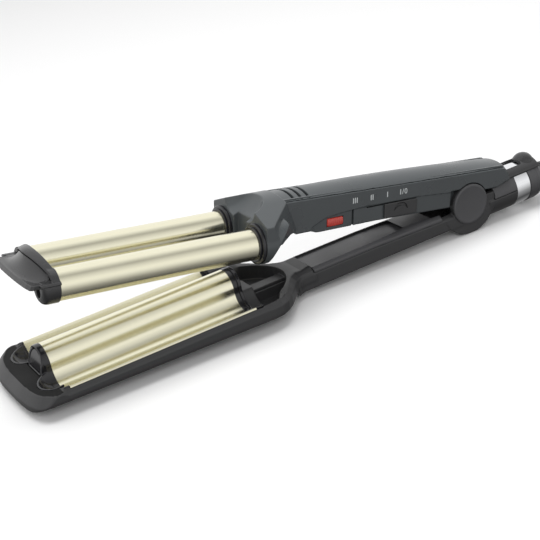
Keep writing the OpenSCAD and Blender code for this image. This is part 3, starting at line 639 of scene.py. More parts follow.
# the line where the flat flank turns in, the side view of the shell and of the room inside it
CREASE = ((-140, -14), (-112, -5), (-106, 5.3), (-98, 8.9), (-87, 10.1), (-72, 11), (-37, 10.7), (-14, 9.2),
          (-5, 8), (40, 4))
BASE_SIDE = ((-114.9, 2.6), (-107.2, 2.6), (-105.4, 2.0), (-103.4, 1.2), (-101, 1), (-64, 1),
             (BELLY_X, -0.2), (BELLY_X, 9.4), (0, 9.4), (0, 6.6), (19.7, 6.6), (25, 8.8), (30, 10.3),
             (38, 10.6), (38, 40), (-136.5, 40), (-136.5, 2.6))
BASE_ROOM = ((-136.5, 4.4), (-107, 4.4), (-103, 2.8), (-64, 2.8), (BELLY_X - 1.8, 1.6), (BELLY_X - 1.8, 40),
             (-136.5, 40))


def base_shell(x, y, z):
    """The lower half of the handle: flanks, switch track, lamp window, ears and screw posts."""
    a = np.abs(y)
    crease = np.interp(x, *zip(*CREASE))
    below = np.maximum(crease - z, 0)
    half = HALF_W - 0.28 * np.minimum(below / 0.5, 1) - 0.055 * below
    body = both(0.9, outline(x, z, BASE_SIDE), a - half)
    body = both(0.3, body, tail_end(x, y, z), handle_front(z) - 1.5 - x)
    lip = both(0.2, z - seam_z(x) - 1.2, a - INNER_Y + 0.15)
    body = both(0.25, body, smin(z - seam_z(x) + 0.1, lip, 0.1))
    width = a - INNER_Y + 1.5
    room = np.maximum(outline(x, z, BASE_ROOM), width)
    back = both(0.3, slab(x, BELLY_X, TAIL_X - 7), width)
    bridge = both(0.3, slab(x, BELLY_X - 3, TAIL_X - 7), width, 13 - z)
    body = np.maximum(body, -joined(0.3, room, back, bridge))
    body = smax(body, -np.maximum(length(x, z) - DISC_R - 0.5, 8 - a), 0.3)
    body = smax(body, -barrel_room(x, y, z, 14.2), 0.4)
    # the switch: a shallow track, a deep end groove and the slit for the stem
    near = -y
    track = both(0.25, slab(x, TRACK_X0, TRACK_X1), slab(z, 1.5, 10.1), 11.2 - near)
    groove = both(0.2, slab(x, TRACK_X0 - 1.2, TRACK_X0 + 0.2), slab(z, 0, 10.3), 9.6 - near)
    slit = both(0.2, slab(x, -70.9, -42.5), slab(z, 9.3, 10.1), 9.2 - near)
    lamp = both(0.4, slab(x, *LAMP_X), slab(z, LAMP_Z - 2.3, LAMP_Z + 2.6), 9.2 - near)
    body = smax(body, -joined(0.1, track, groove, slit, lamp), 0.3)
    # ears on the pin with the stop of the hinge, then the screw posts
    arm = outline(x, z, ((BELLY_X - 1, 0), (BELLY_X - 1, 13), (4, 13), (6, 0)))
    ear = both(0.3, np.minimum(length(x, z) - 8.5, arm), slab(a, *EAR_Y))
    low_x, low_z = lowered(x, z)
    stop = both(0.3, slab(low_x, -2.5, 2), slab(low_z, -13.2, -6), slab(a, *EAR_Y))
    ear = smax(joined(0.4, ear, stop), 2.55 - length(x, z), 0.2)
    body = joined(0.5, body, ear)
    for px in POST_X:
        across = length(x - px, y)
        body = joined(0.4, body, both(0.3, across - 4, slab(z, 1.2, 12)))
        body = smax(body, -joined(0.1, across - 1.35, np.maximum(across - 2.7, z - 3.2)), 0.2)
    return body


def socket_end(x, a, z):
    """The slanting rear end of the sockets that hold the tubes."""
    return (x + 136.2 - 0.685 * (z - TUBE_Z) + 0.55 * (a - 28.5)) / 1.33


# centre and half-lengths of the hollow in the holder's front
RECESS = ((-150.0, 0.0, 31.0), (19.1, 16.6, 19.0))


def yoke(x, y, z):
    """The holder between the tubes and the handle."""
    a = np.abs(y)
    across = tube_r(a, z)
    crown = smax(0.356 * y + 0.935 * z - 24.458, -0.356 * y + 0.935 * z - 24.458, 8.0)
    back_x = -139.7 + (16.0 - z) * 0.486
    handle_x = handle_front(z)
    run = handle_x - back_x
    wall = ((x - back_x) * 16.0 + (a - 28) * run) / length(16.0, run)
    outer = 4.9 - 0.21 * (x + 134.3) + 0.31 * (YOKE_HALF - a)
    inner = 2.2 + 3.5 * np.clip((x + 130) / 14, 0, 1)
    belly = (inner + (outer - inner) * np.clip((a - 13) / 5, 0, 1) - z) * 0.9
    body = both(0.45, YOKE_X - x, a - YOKE_HALF, wall, belly, x - handle_x, crown)
    gap = both(0.4, a - 6.4, x + 140.4, z - 15.4)
    body = smax(body, -gap, 0.5)
    socket = both(0.6, across - 10.8, YOKE_X - x, socket_end(x, a, z), x + 127.5)
    body = smin(body, socket, 0.35)
    (cx, cy, cz), (rx, ry, rz) = RECESS
    u, v, w = (x - cx) / rx, (y - cy) / ry, (z - cz) / rz
    hollow = (np.sqrt(u * u + np.sqrt(v**4 + w**4)) - 1) * 15
    body = smax(body, -hollow, 0.6)
    # tongue inside the handle, seats of the tubes and the way for the wires
    tongue = both(0.4, slab(x, -124.5, -110.5), a - 10, slab(z, 3.8, 16))
    body = smin(body, tongue, 0.3)
    seat = np.maximum(across - 8.1, x + 140.9)
    way = np.maximum(across - 5.6, x + 130.5)
    link = both(0.3, slab(x, -136.4, -131.5), a - 13.7, slab(z, 3.6, 9))
    duct = both(0.3, slab(x, -135.4, -109), a - 7, slab(z, 5.4, 13.6))
    return smax(body, -joined(0.2, seat, way, link, duct), 0.25)


# plan of the hood's foot
LEDGE = ((-256, 23.4), (-265.6, 23.6), (-267.1, 22.9), (-267.8, 18.5), (-268.2, 12), (-268.4, 6),
         (-268.45, 0.01))
# side view of the room over the ridge of the plate when the arms close
RIDGE_ROOM = ((-274, -16), (-274, 3.0), (-264.6, 3.0), (-261.15, 14), (-261.15, 60), (-240, 60), (-240, -60))
HOOD_CENTRE = -17.8
HOOD_R = 36.3
HOOD_WALL = 2.75


def front_hood(x, y, z):
    """The arched hood over the front ends of the tubes."""
    a = np.abs(y)
    # seen from its front, the hood is one flat arch over both sleeves
    section = smax(length(a, z - HOOD_CENTRE) - HOOD_R, a - 26.5, 1.2)
    edge = -262.0 + 4.1 * np.minimum(a / 18, 1.1) ** 1.6
    rear = -256.9 + 3.8 * np.minimum(a / 23, 1) ** 1.7
    cone = smax(section, (section + 1.2 - 0.5 * (x - edge)) * 0.9, 1.0)
    rim = both(0.3, cone, -section - 1.95, edge - x)
    top = np.sqrt((HOOD_R - HOOD_WALL) ** 2 - a * a) + HOOD_CENTRE
    v = np.clip((z - 8) / np.maximum(top - 8, 1.0), 0, 1)
    foot = -266.9 + 2.6 * (a / 19) ** 2.6 + 0.8 * np.maximum(a - 19, 0)
    face = foot + (edge + 0.2 - foot) * (1 - (1 - v) ** 1.3)
    face = face + 0.4 * np.sin(v * math.pi) * np.maximum(1 - a / 24, 0)
    leaf = both(0.3, section + HOOD_WALL, (face - x) * 0.8)
    core = both(0.3, cone + 0.4, edge + 1.7 - x)
    hood = both(0.4, joined(0.15, rim, leaf, core), 7.0 - z, x - rear)
    lip = x + (8 - z) * 0.5
    ledge = both(0.4, outline(lip, a, mirrored_half(LEDGE)), slab(z, 5.8, 8.0), x - rear)
    shape = smin(hood, ledge, 0.7)
    # a sleeve with a round end goes over each tube
    across = tube_r(a, z)
    sleeve = both(0.4, smax(across - 8.55, -262.3 - x, 4.0), x + 253.55, z - 8.2 - 40 * (x > -257.4))
    band = both(0.25, across - 8.95, slab(z, 7.1, 8.35), slab(x, -263.6, -253.4), 23.6 - a)
    shape = joined(0.35, shape, sleeve, band)
    room = smax(length(y, z - TUBE_Z) - 9.7, outline(x, z, RIDGE_ROOM), 0.3)
    shape = smax(shape, -room, 0.4)
    bore = np.maximum(across - 8.05, -255.4 - x)
    hole = np.maximum(length(a - PITCH - 0.6, z - 2.4) - 2.6, x + 259.5)
    return smax(shape, -joined(0.2, bore, hole), 0.3)


def button(x, y, z):
    """The slide button, with its stem and fork."""
    near = -y
    cx = BUTTON_X0 + BUTTON_LEN / 2
    body = block(x, near, z, (BUTTON_X0, BUTTON_X0 + BUTTON_LEN), (11.35, 12.5), (1.75, 9.9), 0.4)
    dent = smax(length(x - cx, z - 4.9) - 4.5, 5.3 - length(x - cx, z - 2.1), 0.2)
    body = smax(body, -smax(dent, 11.65 - near, 0.1), 0.15)
    stem = block(x, near, z, (-50.95, -42.95), (8.8, 12), (8.7, 9.85), 0.2)
    fork = block(x, near, z, (-50.95, -42.95), (8.8, 10.0), (5, 9.85), 0.2)
    pin = block(x, near, z, (-48.45, -45.45), (6.6, 9.2), (6, 8.4), 0.2)
    return joined(0.3, body, stem, fork, pin)


def lens(x, y, z):
    """The lamp's lens, ribbed on its face, with its flange."""
    near = -y
    x0, x1 = LAMP_X
    face = block(x, near, z, (x0 + 0.12, x1 - 0.12), (9.6, 12.35), (LAMP_Z - 2.15, LAMP_Z + 2.45), 0.6)
    dome = length((x - sum(LAMP_X) / 2) * 0.6, near - 2.3, (z - LAMP_Z) * 1.5) - 10.1
    face = smax(face, dome, 0.6)
    ribs = 0.05 * np.cos((x - x0) * 2 * math.pi / 1.3) * (np.abs(z - LAMP_Z) < 1.7)
    flange = block(x, near, z, (x0 - 1, x1 + 1), (9.35, 10.1), (LAMP_Z - 2.4, LAMP_Z + 3.6), 0.2)
    return smin(face + ribs * (near > 11.5), flange, 0.2)


# ---------------------------------------------------------------- lower arm


# the tray's top edge along its length
DECK = ((-279.6, -0.7), (-274.6, 0.5), (-265.6, 1.5), (-259.6, 2.5), (-153.9, 2.5))


def leaf_x(z):
    """The sloping front of the plate's ridge."""
    return -260.4 - (14 - z) * 0.3125


# half plans of the nose, of the whole lower arm and of the nose's bevel
NOSE = tuple((NOSE_X + 11 * (1 - (1 - t**2.8) ** 0.357), TRAY_HALF * t) for t in (
    0.01, 0.15, 0.3, 0.4, 0.48, 0.56, 0.63, 0.7, 0.76, 0.82, 0.87, 0.91, 0.945, 0.97, 0.99, 1.0))
PLAN = mirrored_half(NOSE + (
    (-144, TRAY_HALF), (-139, 32.7), (-134.6, 30.6), (-130.3, 27.1), (-126.3, 22.8), (-122.8, 18.4),
    (-119.4, 14.7), (-116.2, 12.4), (-113.4, 11.5), (-111, ARM_HALF), (0, ARM_HALF)))
NOSE_PLAN = mirrored_half(NOSE[:12] + ((-270, 37), (-267, 44), (-267, 80), (0, 80)))
# side views of the tray and of the arm behind it
TRAY_SIDE = DECK + (
    (-141, 1.7), (-121, 1.5), (-113, 0.3), (-105.9, 1.1), (-105.2, -3), (-106.5, -11.0), (-116.5, ARM_BOTTOM),
    (-136.5, -17.1), (-261.6, -17.1), (-261.6, -13.3), (-279.6, -6.6))
ARM_SIDE = ((-118.5, 10), (-6, 10), (-6, ARM_BOTTOM), (-118.5, ARM_BOTTOM))
# half plan of the well behind the plate
WELL = mirrored_half((
    (-150, 26.9), (-144, 26.2), (-137.9, 23.6), (-133.6, 21.2), (-130.0, 18.4), (-126.6, 15.0),
    (-123.8, 11.4), (-121.6, 7.4), (-120.4, 3.6), (-120.1, 0.01)))


def shoulder(out, up):
    """A slope that falls 2.4 over 3.4 sideways."""
    return (2.4 * out + 3.4 * up) / 4.162


def roof(x, y, z, drop):
    """Under the arm's roof line: flat on top with sloping shoulders, a little lower towards the hinge."""
    a = np.abs(y)
    top = z - 0.75 + 1.3 * np.clip((x + 66) / 50, 0, 1) + drop
    return both(0.8, top, shoulder(a - 8.6, top))


def table_height(x, z):
    """Height over the table at rest."""
    return (x - FOOT_X) * math.sin(TILT) + (z - TRAY_BOTTOM) * math.cos(TILT)


def tray(x, y, z):
    """The tray of the wave plate, its neck and the hollow arm behind it."""
    a = np.abs(y)
    plan = outline(x, a, PLAN)
    high = table_height(x, z)
    side = np.where(x > -150, plan + 16.75, a - 16.75)
    belly = smax(-high, (side * 0.4657 - high) / 1.103, 7.0)
    nose = outline(x, a, NOSE_PLAN)
    bevel = (z + 3.8 + nose) * DIAGONAL
    # the top edge falls away: at 45 degrees beside the plate, steeper along the neck
    beside = (plan + z + 0.3) * DIAGONAL
    neck = shoulder(plan + 3.4, z - 1.0)
    edge = beside + (neck - beside) * np.clip((x + 150) / 30, 0, 1)
    edge = edge + (np.minimum(edge, bevel) - edge) * np.clip((-x - 260) / 8, 0, 1)
    body = both(0.6, both(1.4, plan, belly), edge, both(0.6, outline(x, z, TRAY_SIDE), bevel))
    arm = both(0.8, plan, roof(x, y, z, COVER_T), outline(x, z, ARM_SIDE))
    body = smin(body, arm, 1.2)
    # seats of the plate and of the bowls of its glossy end
    across = tube_r(a, z)
    bowl = length(a - PITCH, z - TUBE_Z, np.minimum(x - BOWL_X, 0))
    trough = np.where(x < BOWL_X, bowl, across)
    trough = smax(trough - TROUGH_R - 1.15, x - SEAT_END, 0.3)
    flank = smax(-(wave(y, z) + 1.25), slab(x, -261.8 + 3.6 * np.clip((a - 28) / 1.5, 0, 1), SEAT_END), 0.3)
    flank = np.maximum(flank, 15 - a)
    ridge = both(0.3, a - 9.85, POCKET_Z - z, x - SEAT_END, leaf_x(z) - 0.25 - x)
    body = smax(body, -joined(0.2, trough, flank, ridge), 0.35)
    # well behind the plate: a stepped rim, a shelf that carries on the troughs, and a bar in the middle
    ring = outline(x, a, WELL)
    step = both(0.3, ring - 4.3, 0.9 - z, -155 - x)
    floor = both(0.5, ring, 3.2 - high, ARM_FLOOR - z, belly + 2.2)
    shelf = both(0.6, 11.4 - across, x + 141.5, z - 3)
    bar = both(0.3, a - 3.4, z + 2.6)
    rib = both(0.3, slab(a, 4.6, 5.6), z + 3.6)
    well = smax(floor, -148.9 - x, 0.3)
    well = smax(well, -joined(0.3, shelf, bar, rib), 0.4)
    # room for the collars and sockets of the tubes when the arms close
    sockets = both(0.8, across - 11.5, slab(x, SEAT_END - 0.1, -135.0), socket_end(x, a, z) - 0.6)
    body = smax(body, -smin(smin(well, step, 0.25), sockets, 1.6), 0.35)
    # hollow arm under its cover
    hollow = both(0.4, slab(x, -103.5, -19.7), a - 9.6, ARM_FLOOR - z)
    above = both(0.4, slab(x, -106.5, -19.7), -roof(x, y, z, COVER_T))
    body = smax(body, -smin(hollow, above, 0.2), 0.3)
    for px in SCREW_X:
        body = smax(body, -np.maximum(length(x - px, y) - 2.7, high - 1.9), 0.25)
    return body


def barrel_outside(x, y, z, start, split):
    """The rear barrel and its neck, on one side of their split."""
    r = barrel_r(y, z)
    barrel = both(0.4, r - BARREL_R, slab(x, start, BAND_X0 - 0.1), split)
    neck = both(0.3, r - NECK_R, slab(x, BAND_X0 - 1, NECK_END), split)
    return smin(barrel, neck, 0.3)


def rear_half(x, y, z):
    """Lugs of the hinge, the wall under them and the lower half of the barrel."""
    a = np.abs(y)
    r = length(x, z)
    low = np.where(x < 0, z + 5, z - 1.5)
    lug = smin(r - DISC_R, both(0.5, r - LUG_R, low), 0.5)
    lug = both(0.4, lug, slab(a, LUG_Y, ARM_HALF))
    wall = both(0.5, r - LUG_R, a - ARM_HALF, z + 7)
    shape = smin(lug, wall, 0.4)
    return smin(shape, barrel_outside(x, y, z, 14, z + 3.9), 0.8)


def lower_body(x, y, z):
    """The tray and the arm in one piece with the rear half of the hinge."""
    shape = smin(tray(x, y, z), rear_half(x, y, z), 0.8)
    a = np.abs(y)
    r = barrel_r(y, z)
    space = both(0.3, length(x, z) - 15.9, a - LUG_Y)
    floor = both(0.3, slab(x, -19.8, 0), a - LUG_Y, ARM_FLOOR - z)
    bore = np.maximum(r - BARREL_BORE, slab(x, 8, BAND_X0))
    throat = np.maximum(r - NECK_BORE, slab(x, BAND_X0 - 1, 58))
    head = np.maximum(length(x - BAND_X0 + SCREW_AHEAD, y) - 2.7, z - BARREL_Z + BARREL_R - 1.7)
    shape = smax(shape, -joined(0.3, space, floor, bore, throat, head), 0.35)
    stop = both(0.3, slab(x, -6, -2.5), slab(a, 5.2, 8.8), slab(z, -16.4, -9.6))
    shape = smin(shape, stop, 0.3)
    return smax(shape, -table_height(x, z), 0.3)


def front_end(x, y, z):
    """Glossy front end of the plate: a rim along the wave, the leaf of the ridge, two bowls and two tabs."""
    a = np.abs(y)
    high = wave(y, z)
    rim = both(0.5, high - 0.12, -high - 1.35, slab(x, -261.3, PLATE_X0 + 0.05), a - LIP_Y - 0.1)
    inner = length(y, np.maximum(z - TUBE_Z, 0) + np.minimum(z - TUBE_Z, 0) * 0.3)
    ridge = both(0.9, high - 0.12, a - 8.9, -4 - z, x - PLATE_X0 - 0.05, (leaf_x(z) - x) * 0.955)
    leaf = both(0.3, inner - 7.1, x - leaf_x(z) - 0.45, 1.4 - z)
    ridge = smax(ridge, -leaf, 0.5)
    ball = length(x - BOWL_X, a - PITCH, z - TUBE_Z)
    bowl = both(0.25, TROUGH_R - ball, ball - TROUGH_R - 1.1, x + 259.5, z - np.interp(x, *zip(*DECK)) - 0.15)
    tab = block(x, a, z, (-260.2, -257.9), (29.5, 30.8), (0.4, 2.75), 0.3)
    return joined(0.3, joined(0.25, rim, bowl), ridge, tab)


def rear_end(x, y, z):
    """Glossy rear end of the plate, with the slot that the tray's bar fits."""
    a = np.abs(y)
    high = wave(y, z)
    sheet = both(0.7, high - 0.1, -high - 1.4, slab(x, PLATE_X1 - 0.05, SEAT_END - 0.1), a - LIP_Y)
    web = both(0.5, high - 0.1, a - 8.2, slab(x, PLATE_X1 - 0.05, SEAT_END - 0.1), -9.5 - z)
    groove = both(0.2, slab(high, -0.5, 0.5), slab(x, -151.3, -150.9))
    slot = both(0.3, a - 2, TUBE_Z - 8 - z, z - TUBE_Z)
    shape = smax(smin(sheet, web, 0.5), -groove, 0.3)
    return smax(shape, -np.maximum(slot, -152.5 - x), 0.3)


def arm_cover(x, y, z):
    """The cover on the lower arm."""
    a = np.abs(y)
    plan = outline(x, a, PLAN) + 0.05
    shell = both(0.5, plan, roof(x, y, z, 0), slab(x, -106.4, -19.8))
    shell = smax(shell, -roof(x, y, z, COVER_T), 0.3)
    return smax(shell, -both(0.3, slab(x, -25.7, 0), a - 8.5), 0.3)


def upper_barrel(x, y, z):
    """The upper half of the rear barrel, with its slot and screw boss."""
    r = barrel_r(y, z)
    shape = barrel_outside(x, y, z, 16, -3.7 - z)
    bore = np.maximum(r - BARREL_BORE, x - BAND_X0)
    shape = smax(shape, -smin(bore, r - NECK_BORE, 0.3), 0.3)
    shape = smax(shape, LUG_R + 0.3 - length(x, z), 0.3)
    slot = both(0.2, x - 58, BAND_X1 - 0.5 - x, np.abs(y) - 2.3)
    shape = smax(shape, -slot, 0.2)
    across = length(x - BAND_X0 + SCREW_AHEAD, y)
    boss = both(0.3, across - 2.9, slab(z, -3.8, 6.4))
    return smax(smin(shape, boss, 0.4), -np.maximum(across - 1.3, z - 4.6), 0.2)


def slide(x, y, z):
    """The closing lock: a saddle open between two bars over the band, and a grooved, domed thumb rest."""
    a = np.abs(y)
    r = barrel_r(y, z)
    inside, end = 12.55 - r, 54.2
    saddle = both(0.35, r - 13.45, inside, slab(x, 26.8, end), a - 9.4)
    window = outline(x, a, mirrored_half(((20, 4.9), (44, 4.9), (45.2, 3.6), (45.2, 0.01))))
    saddle = smax(saddle, -window, 0.35)
    dome = both(0.6, length(x - 49.8, y, z - 5.0) - 6.8, slab(x, 44.4, end), a - 8.8, inside)
    ribs = smax(dome, -(length(np.mod(x - 44.0, 1.9) - 0.95, z - 12.1) - 0.42), 0.2)
    foot = both(0.2, slab(x, 49.9, 53.4), a - 1.9, slab(z, 6.6, 9.05))
    return joined(0.5, saddle, ribs, foot)


def end_ring(x, y, z):
    """The collar on the barrel's end, with the slot of the lock."""
    r = barrel_r(y, z)
    profile = ((NECK_R + 0.05, BAND_X1), (END_R, BAND_X1), (END_R, 50.2), (END_R - 0.6, 53.4),
               (END_R - 2, 56), (7.8, COLLAR_END), (6.55, COLLAR_END), (6.55, 54.5), (8.55, 54.5),
               (8.55, NECK_END), (NECK_R + 0.05, NECK_END))
    groove = length(r - END_R, x - 50.6) - 0.4
    shape = smax(outline(r, x, profile), -groove, 0.2)
    slot = both(0.2, slab(x, 45.6, 54), np.abs(y) - 2.2, 5.2 - z)
    mark = both(0.2, slab(x, 45.0, 50.0), END_R - 0.7 + y, slab(z, -13, -8.3))
    return smax(shape, -smin(slot, mark, 0.1), 0.25)


# ---------------------------------------------------------------- geometry nodes


def new_tree(name, sizes):
    """A geometry tree with a geometry input, named number inputs and one material input."""
    tree = bpy.data.node_groups.new(name, "GeometryNodeTree")
    tree.interface.new_socket("Geometry", in_out="INPUT", socket_type="NodeSocketGeometry")
    for label, value in sizes.items():
        socket = tree.interface.new_socket(label, in_out="INPUT", socket_type="NodeSocketFloat")
        socket.default_value = value
        socket.min_value = 0.0
        socket.subtype = "DISTANCE"
    tree.interface.new_socket("Material", in_out="INPUT", socket_type="NodeSocketMaterial")
    tree.interface.new_socket("Geometry", in_out="OUTPUT", socket_type="NodeSocketGeometry")
    return tree, tree.nodes.new("NodeGroupInput").outputs


def close_tree(tree, geometry, material):
    """Ends a tree: instances realized, material set."""
    real = add(tree, "GeometryNodeRealizeInstances", {"Geometry": geometry})
    done = add(tree, "GeometryNodeSetMaterial", {"Geometry": real.outputs[0], "Material": material})
    add(tree, "NodeGroupOutput", {"Geometry": done.outputs[0]})
    return tree


def run_tree(obj, tree, values):
    """Evaluates the tree on the object and keeps the plain mesh."""
    mod = obj.modifiers.new(tree.name, "NODES")
    mod.node_group = tree
    for item in tree.interface.items_tree:
        if item.in_out == "INPUT" and item.name in values:
            mod[item.identifier] = values[item.name]
    return plain(obj)


def sweep_tree():
    """Carries a flat closed profile along a straight path of the given length."""
    tree, given = new_tree("swept_plate", {"Length": 0.1})
    profile = add(tree, "GeometryNodeMeshToCurve", {"Mesh": given["Geometry"]})
    reach = add(tree, "ShaderNodeCombineXYZ", {"X": given["Length"]})
    path = add(tree, "GeometryNodeCurvePrimitiveLine", {"End": reach.outputs[0]})
    swept = add(tree, "GeometryNodeCurveToMesh", {
        "Curve": path.outputs[0], "Profile Curve": profile.outputs[0], "Fill Caps": True})
    return close_tree(tree, swept.outputs[0], given["Material"])


def screw_tree():
    """A pan-head screw with a cross recess on every point of the mesh, its head downwards."""
    sizes = {"Head diameter": 0.0044, "Head height": 0.0014, "Shank diameter": 0.0025, "Shank length": 0.01}
    tree, given = new_tree("cross_recess_screws", sizes)

    half = {size: add(tree, "ShaderNodeMath", {0: given[size], 1: 0.5}, operation="MULTIPLY").outputs[0]
            for size in sizes}
    lift = add(tree, "ShaderNodeMath", {0: half["Shank length"], 1: given["Head height"]}, operation="ADD")
    rods = []
    for sides, radius, depth, middle in (
        (40, half["Head diameter"], given["Head height"], half["Head height"]),
        (24, half["Shank diameter"], given["Shank length"], lift.outputs[0]),
    ):
        rod = add(tree, "GeometryNodeMeshCylinder", {
            "Vertices": sides, "Side Segments": 1, "Radius": radius, "Depth": depth})
        way = add(tree, "ShaderNodeCombineXYZ", {"Z": middle})
        rods.append(add(tree, "GeometryNodeTransform", {
            "Geometry": rod.outputs[0], "Translation": way.outputs[0]}))
    head, shank = rods
    cut = add(tree, "GeometryNodeMeshBoolean", {"Mesh 1": head.outputs[0]},
              operation="DIFFERENCE", solver="EXACT")
    for size in ((0.0026, 0.0006, 0.0014), (0.0006, 0.0026, 0.0014)):
        bar = add(tree, "GeometryNodeMeshCube", {"Size": size})
        tree.links.new(bar.outputs[0], cut.inputs["Mesh 2"])
    turns = add(tree, "GeometryNodeMeshCylinder", {
        "Vertices": 24, "Side Segments": 1, "Radius": 0.00148, "Depth": 0.0003})
    lines = add(tree, "GeometryNodeMeshLine", {
        "Count": 8, "Start Location": (0, 0, 0.0032), "Offset": (0, 0, 0.001)})
    thread = add(tree, "GeometryNodeInstanceOnPoints", {
        "Points": lines.outputs[0], "Instance": turns.outputs[0]})
    whole = add(tree, "GeometryNodeJoinGeometry")
    for part in (cut, shank, thread):
        tree.links.new(part.outputs[0], whole.inputs[0])
    placed = add(tree, "GeometryNodeInstanceOnPoints", {
        "Points": given["Geometry"], "Instance": whole.outputs[0]})
    return close_tree(tree, placed.outputs[0], given["Material"])


# ---------------------------------------------------------------- pieces


def make_tubes(look):
    radius = look.tube_diameter / MM / 2
    bore = radius - 1.0
    tube = [(-255.3, bore), (-255.3, radius - 0.3), (-255, radius), (-141, radius), (-141, bore)]
    # a low lip, then two wider rings that step out from the tube
    rings = [(-146.5, radius + 0.05), (-146.5, radius + 0.9), (-146.3, radius + 1.1), (-145.7, radius + 1.1),
             (-145.5, radius + 1.0), (-145.5, 9.9), (-145.35, 10.35), (-145.0, 10.62), (-144.6, 10.68),
             (-144.15, 10.62), (-144.05, 10.2), (-143.85, 10.1), (-143.75, 10.5), (-143.5, 10.55),
             (-143.42, 10.3), (-143.42, radius + 0.05)]
    for side, name in ((-1, "near"), (1, "far")):
        centre = (side * PITCH, TUBE_Z)
        obj = lathe(f"heated_tube_{name}", tube, "upper", centre, steps=160)
        finish(obj, "upper_arm", "gold_coat", "brushed_gold_tube", f"tube_{name}")
        obj = lathe(f"tube_collar_{name}", rings, "upper", centre, steps=128, angle=28)
        finish(obj, "upper_arm", "gloss_black", "polished_phenolic_caps", f"collar_ring_{name}")


def make_front_hood(look):
    lines = [ticks(-270.4, 0.32, -252.6), even(0.17, 0.34, 27.4), ticks(-4.7, 0.32, 21.7)]
    carve("front_hood", front_hood, lines, "upper_arm", "satin_black", "satin_phenolic_cap", "front_cap")


def make_yoke(look):
    lines = [ticks(-144.2, 0.45, -109.8), even(0.2, 0.45, 29), ticks(-7.2, 0.45, 24.6)]
    carve("tube_holder", yoke, lines, "upper_arm", "satin_black", "moulded_nylon_handle", "tube_yoke")


def make_handle(look):
    lines = [ticks(-126, 0.4, -104, 1.0, 8, 0.6, 34), even(0.2, 0.4, 12.6), ticks(5.0, 0.6, 15.2, 0.3, 24.6)]
    carve("handle_top", top_shell, lines, "upper_arm", "black_plastic", "moulded_nylon_handle", "upper_shell")
    lines = [ticks(-126, 0.5, -82, 0.4, -36, 0.7, 34), even(0.2, 0.5, 10, 0.25, 12.6),
             ticks(-13.6, 0.5, 0.6, 0.35, 22.4)]
    carve("handle_lower", base_shell, lines, "upper_arm", "black_plastic", "moulded_nylon_handle",
          "handle_base", 0.6)


def strokes(x, z, height, text):
    """Upright bars, a slash and a nought as outlines in the XZ plane; gives (bars, rings)."""
    bars, rings = [], []
    at = x - MARK_STEP * (len(text) - 1) / 2
    for sign in text:
        if sign == "0":
            rings.append((at, z, height * 0.3, height * 0.5))
        else:
            half = MARK_WIDTH / (2 if sign == "I" else 3)
            bars.append((at - half, at + half, z - height / 2, z + height / 2))
        at += MARK_STEP * (1.4 if sign == "0" else 1.0)
    return bars, rings


def make_switch(look):
    lines = [ticks(-60.3, 0.25, -37.7), ticks(-12.9, 0.16, -10.8, 0.35, -6.2), ticks(1.2, 0.25, 10.4)]
    carve("slide_button", button, lines, "switch_button", "black_plastic", "moulded_nylon_button",
          "switch_button")
    lines = [ticks(-98.4, 0.28, -84.6), ticks(-12.8, 0.2, -8.9), ticks(1.8, 0.28, 9.6)]
    carve("power_light_lens", lens, lines, "upper_arm", "red_lens", "red_polycarbonate_lens", "lamp_lens")
    verts, faces = [], []
    for text, x in MARKS:
        bars, rings = strokes(x, MARK_Z, look.mark_height / MM, text)
        lean = 0.5 if text == "/" else 0.0
        for x0, x1, z0, z1 in bars:
            at = len(verts)
            for y in MARK_Y:
                verts += [(x0 - lean, y, z0), (x1 - lean, y, z0), (x1 + lean, y, z1), (x0 + lean, y, z1)]
            faces += [(at, at + 1, at + 2, at + 3), (at + 7, at + 6, at + 5, at + 4)]
            faces += [(at + i, at + (i + 1) % 4, at + 4 + (i + 1) % 4, at + 4 + i) for i in range(4)]
        for cx, cz, rx, rz in rings:
            at, n = len(verts), 28
            for i in range(n):
                turned = 2 * math.pi * i / n
                c, s = math.cos(turned), math.sin(turned)
                for y in MARK_Y:
                    verts += [(cx + (rx - inset) * c, y, cz + (rz - inset) * s) for inset in (0, 0.38)]
            for i in range(n):
                a, b = at + i * 4, at + (i + 1) % n * 4
                faces += [(a, b, b + 1, a + 1), (a + 2, b + 2, b, a), (a + 3, b + 3, b + 2, a + 2),
                          (a + 1, b + 1, b + 3, a + 3)]
    mesh = mesh_of("switch_marks", place(verts, "upper"), faces)
    marks = new_object("switch_marks", tidy_mesh(mesh, 30))
    finish(marks, "upper_arm", "black_plastic", "white_pad_print")


def plate_profile():
    """The closed outline of the wave plate: its top line and its lower line, a plate's thickness apart."""
    pts = []
    for a in np.linspace(0, math.radians(90), 18):
        pts.append((RIDGE_R * math.sin(a), TUBE_Z + RIDGE_R * math.cos(a)))
    for a in np.linspace(math.radians(180), math.radians(270) + FLANK, 40)[1:]:
        pts.append((PITCH + TROUGH_R * math.cos(a), TUBE_Z + TROUGH_R * math.sin(a)))
    end = (LIP_Y - TANGENT_Y) / math.cos(FLANK)
    c, s = math.cos(FLANK), math.sin(FLANK)
    pts += [(TANGENT_Y + t * c, TANGENT_Z + t * s) for t in np.linspace(0, end, 6)[1:]]
    top = np.array(pts)
    way = np.gradient(top, axis=0)
    way /= np.linalg.norm(way, axis=1)[:, None]
    side = np.stack([way[:, 1], -way[:, 0]], 1) * PLATE_T
    side[0] = (0, -PLATE_T)
    low = top + side
    keep = [i for i, p in enumerate(low) if abs(p[0]) > 0.05 or i == 0]
    right = [tuple(p) for p in top]
    under = [tuple(low[i]) for i in keep]
    rest = [(-a, b) for a, b in reversed(right[1:])] + right
    back = under[::-1] + [(-a, b) for a, b in under[1:]]
    return soften(rest + back, [0.22 if abs(abs(p[0]) - LIP_Y) < 0.8 else 0.0 for p in rest + back], 3)


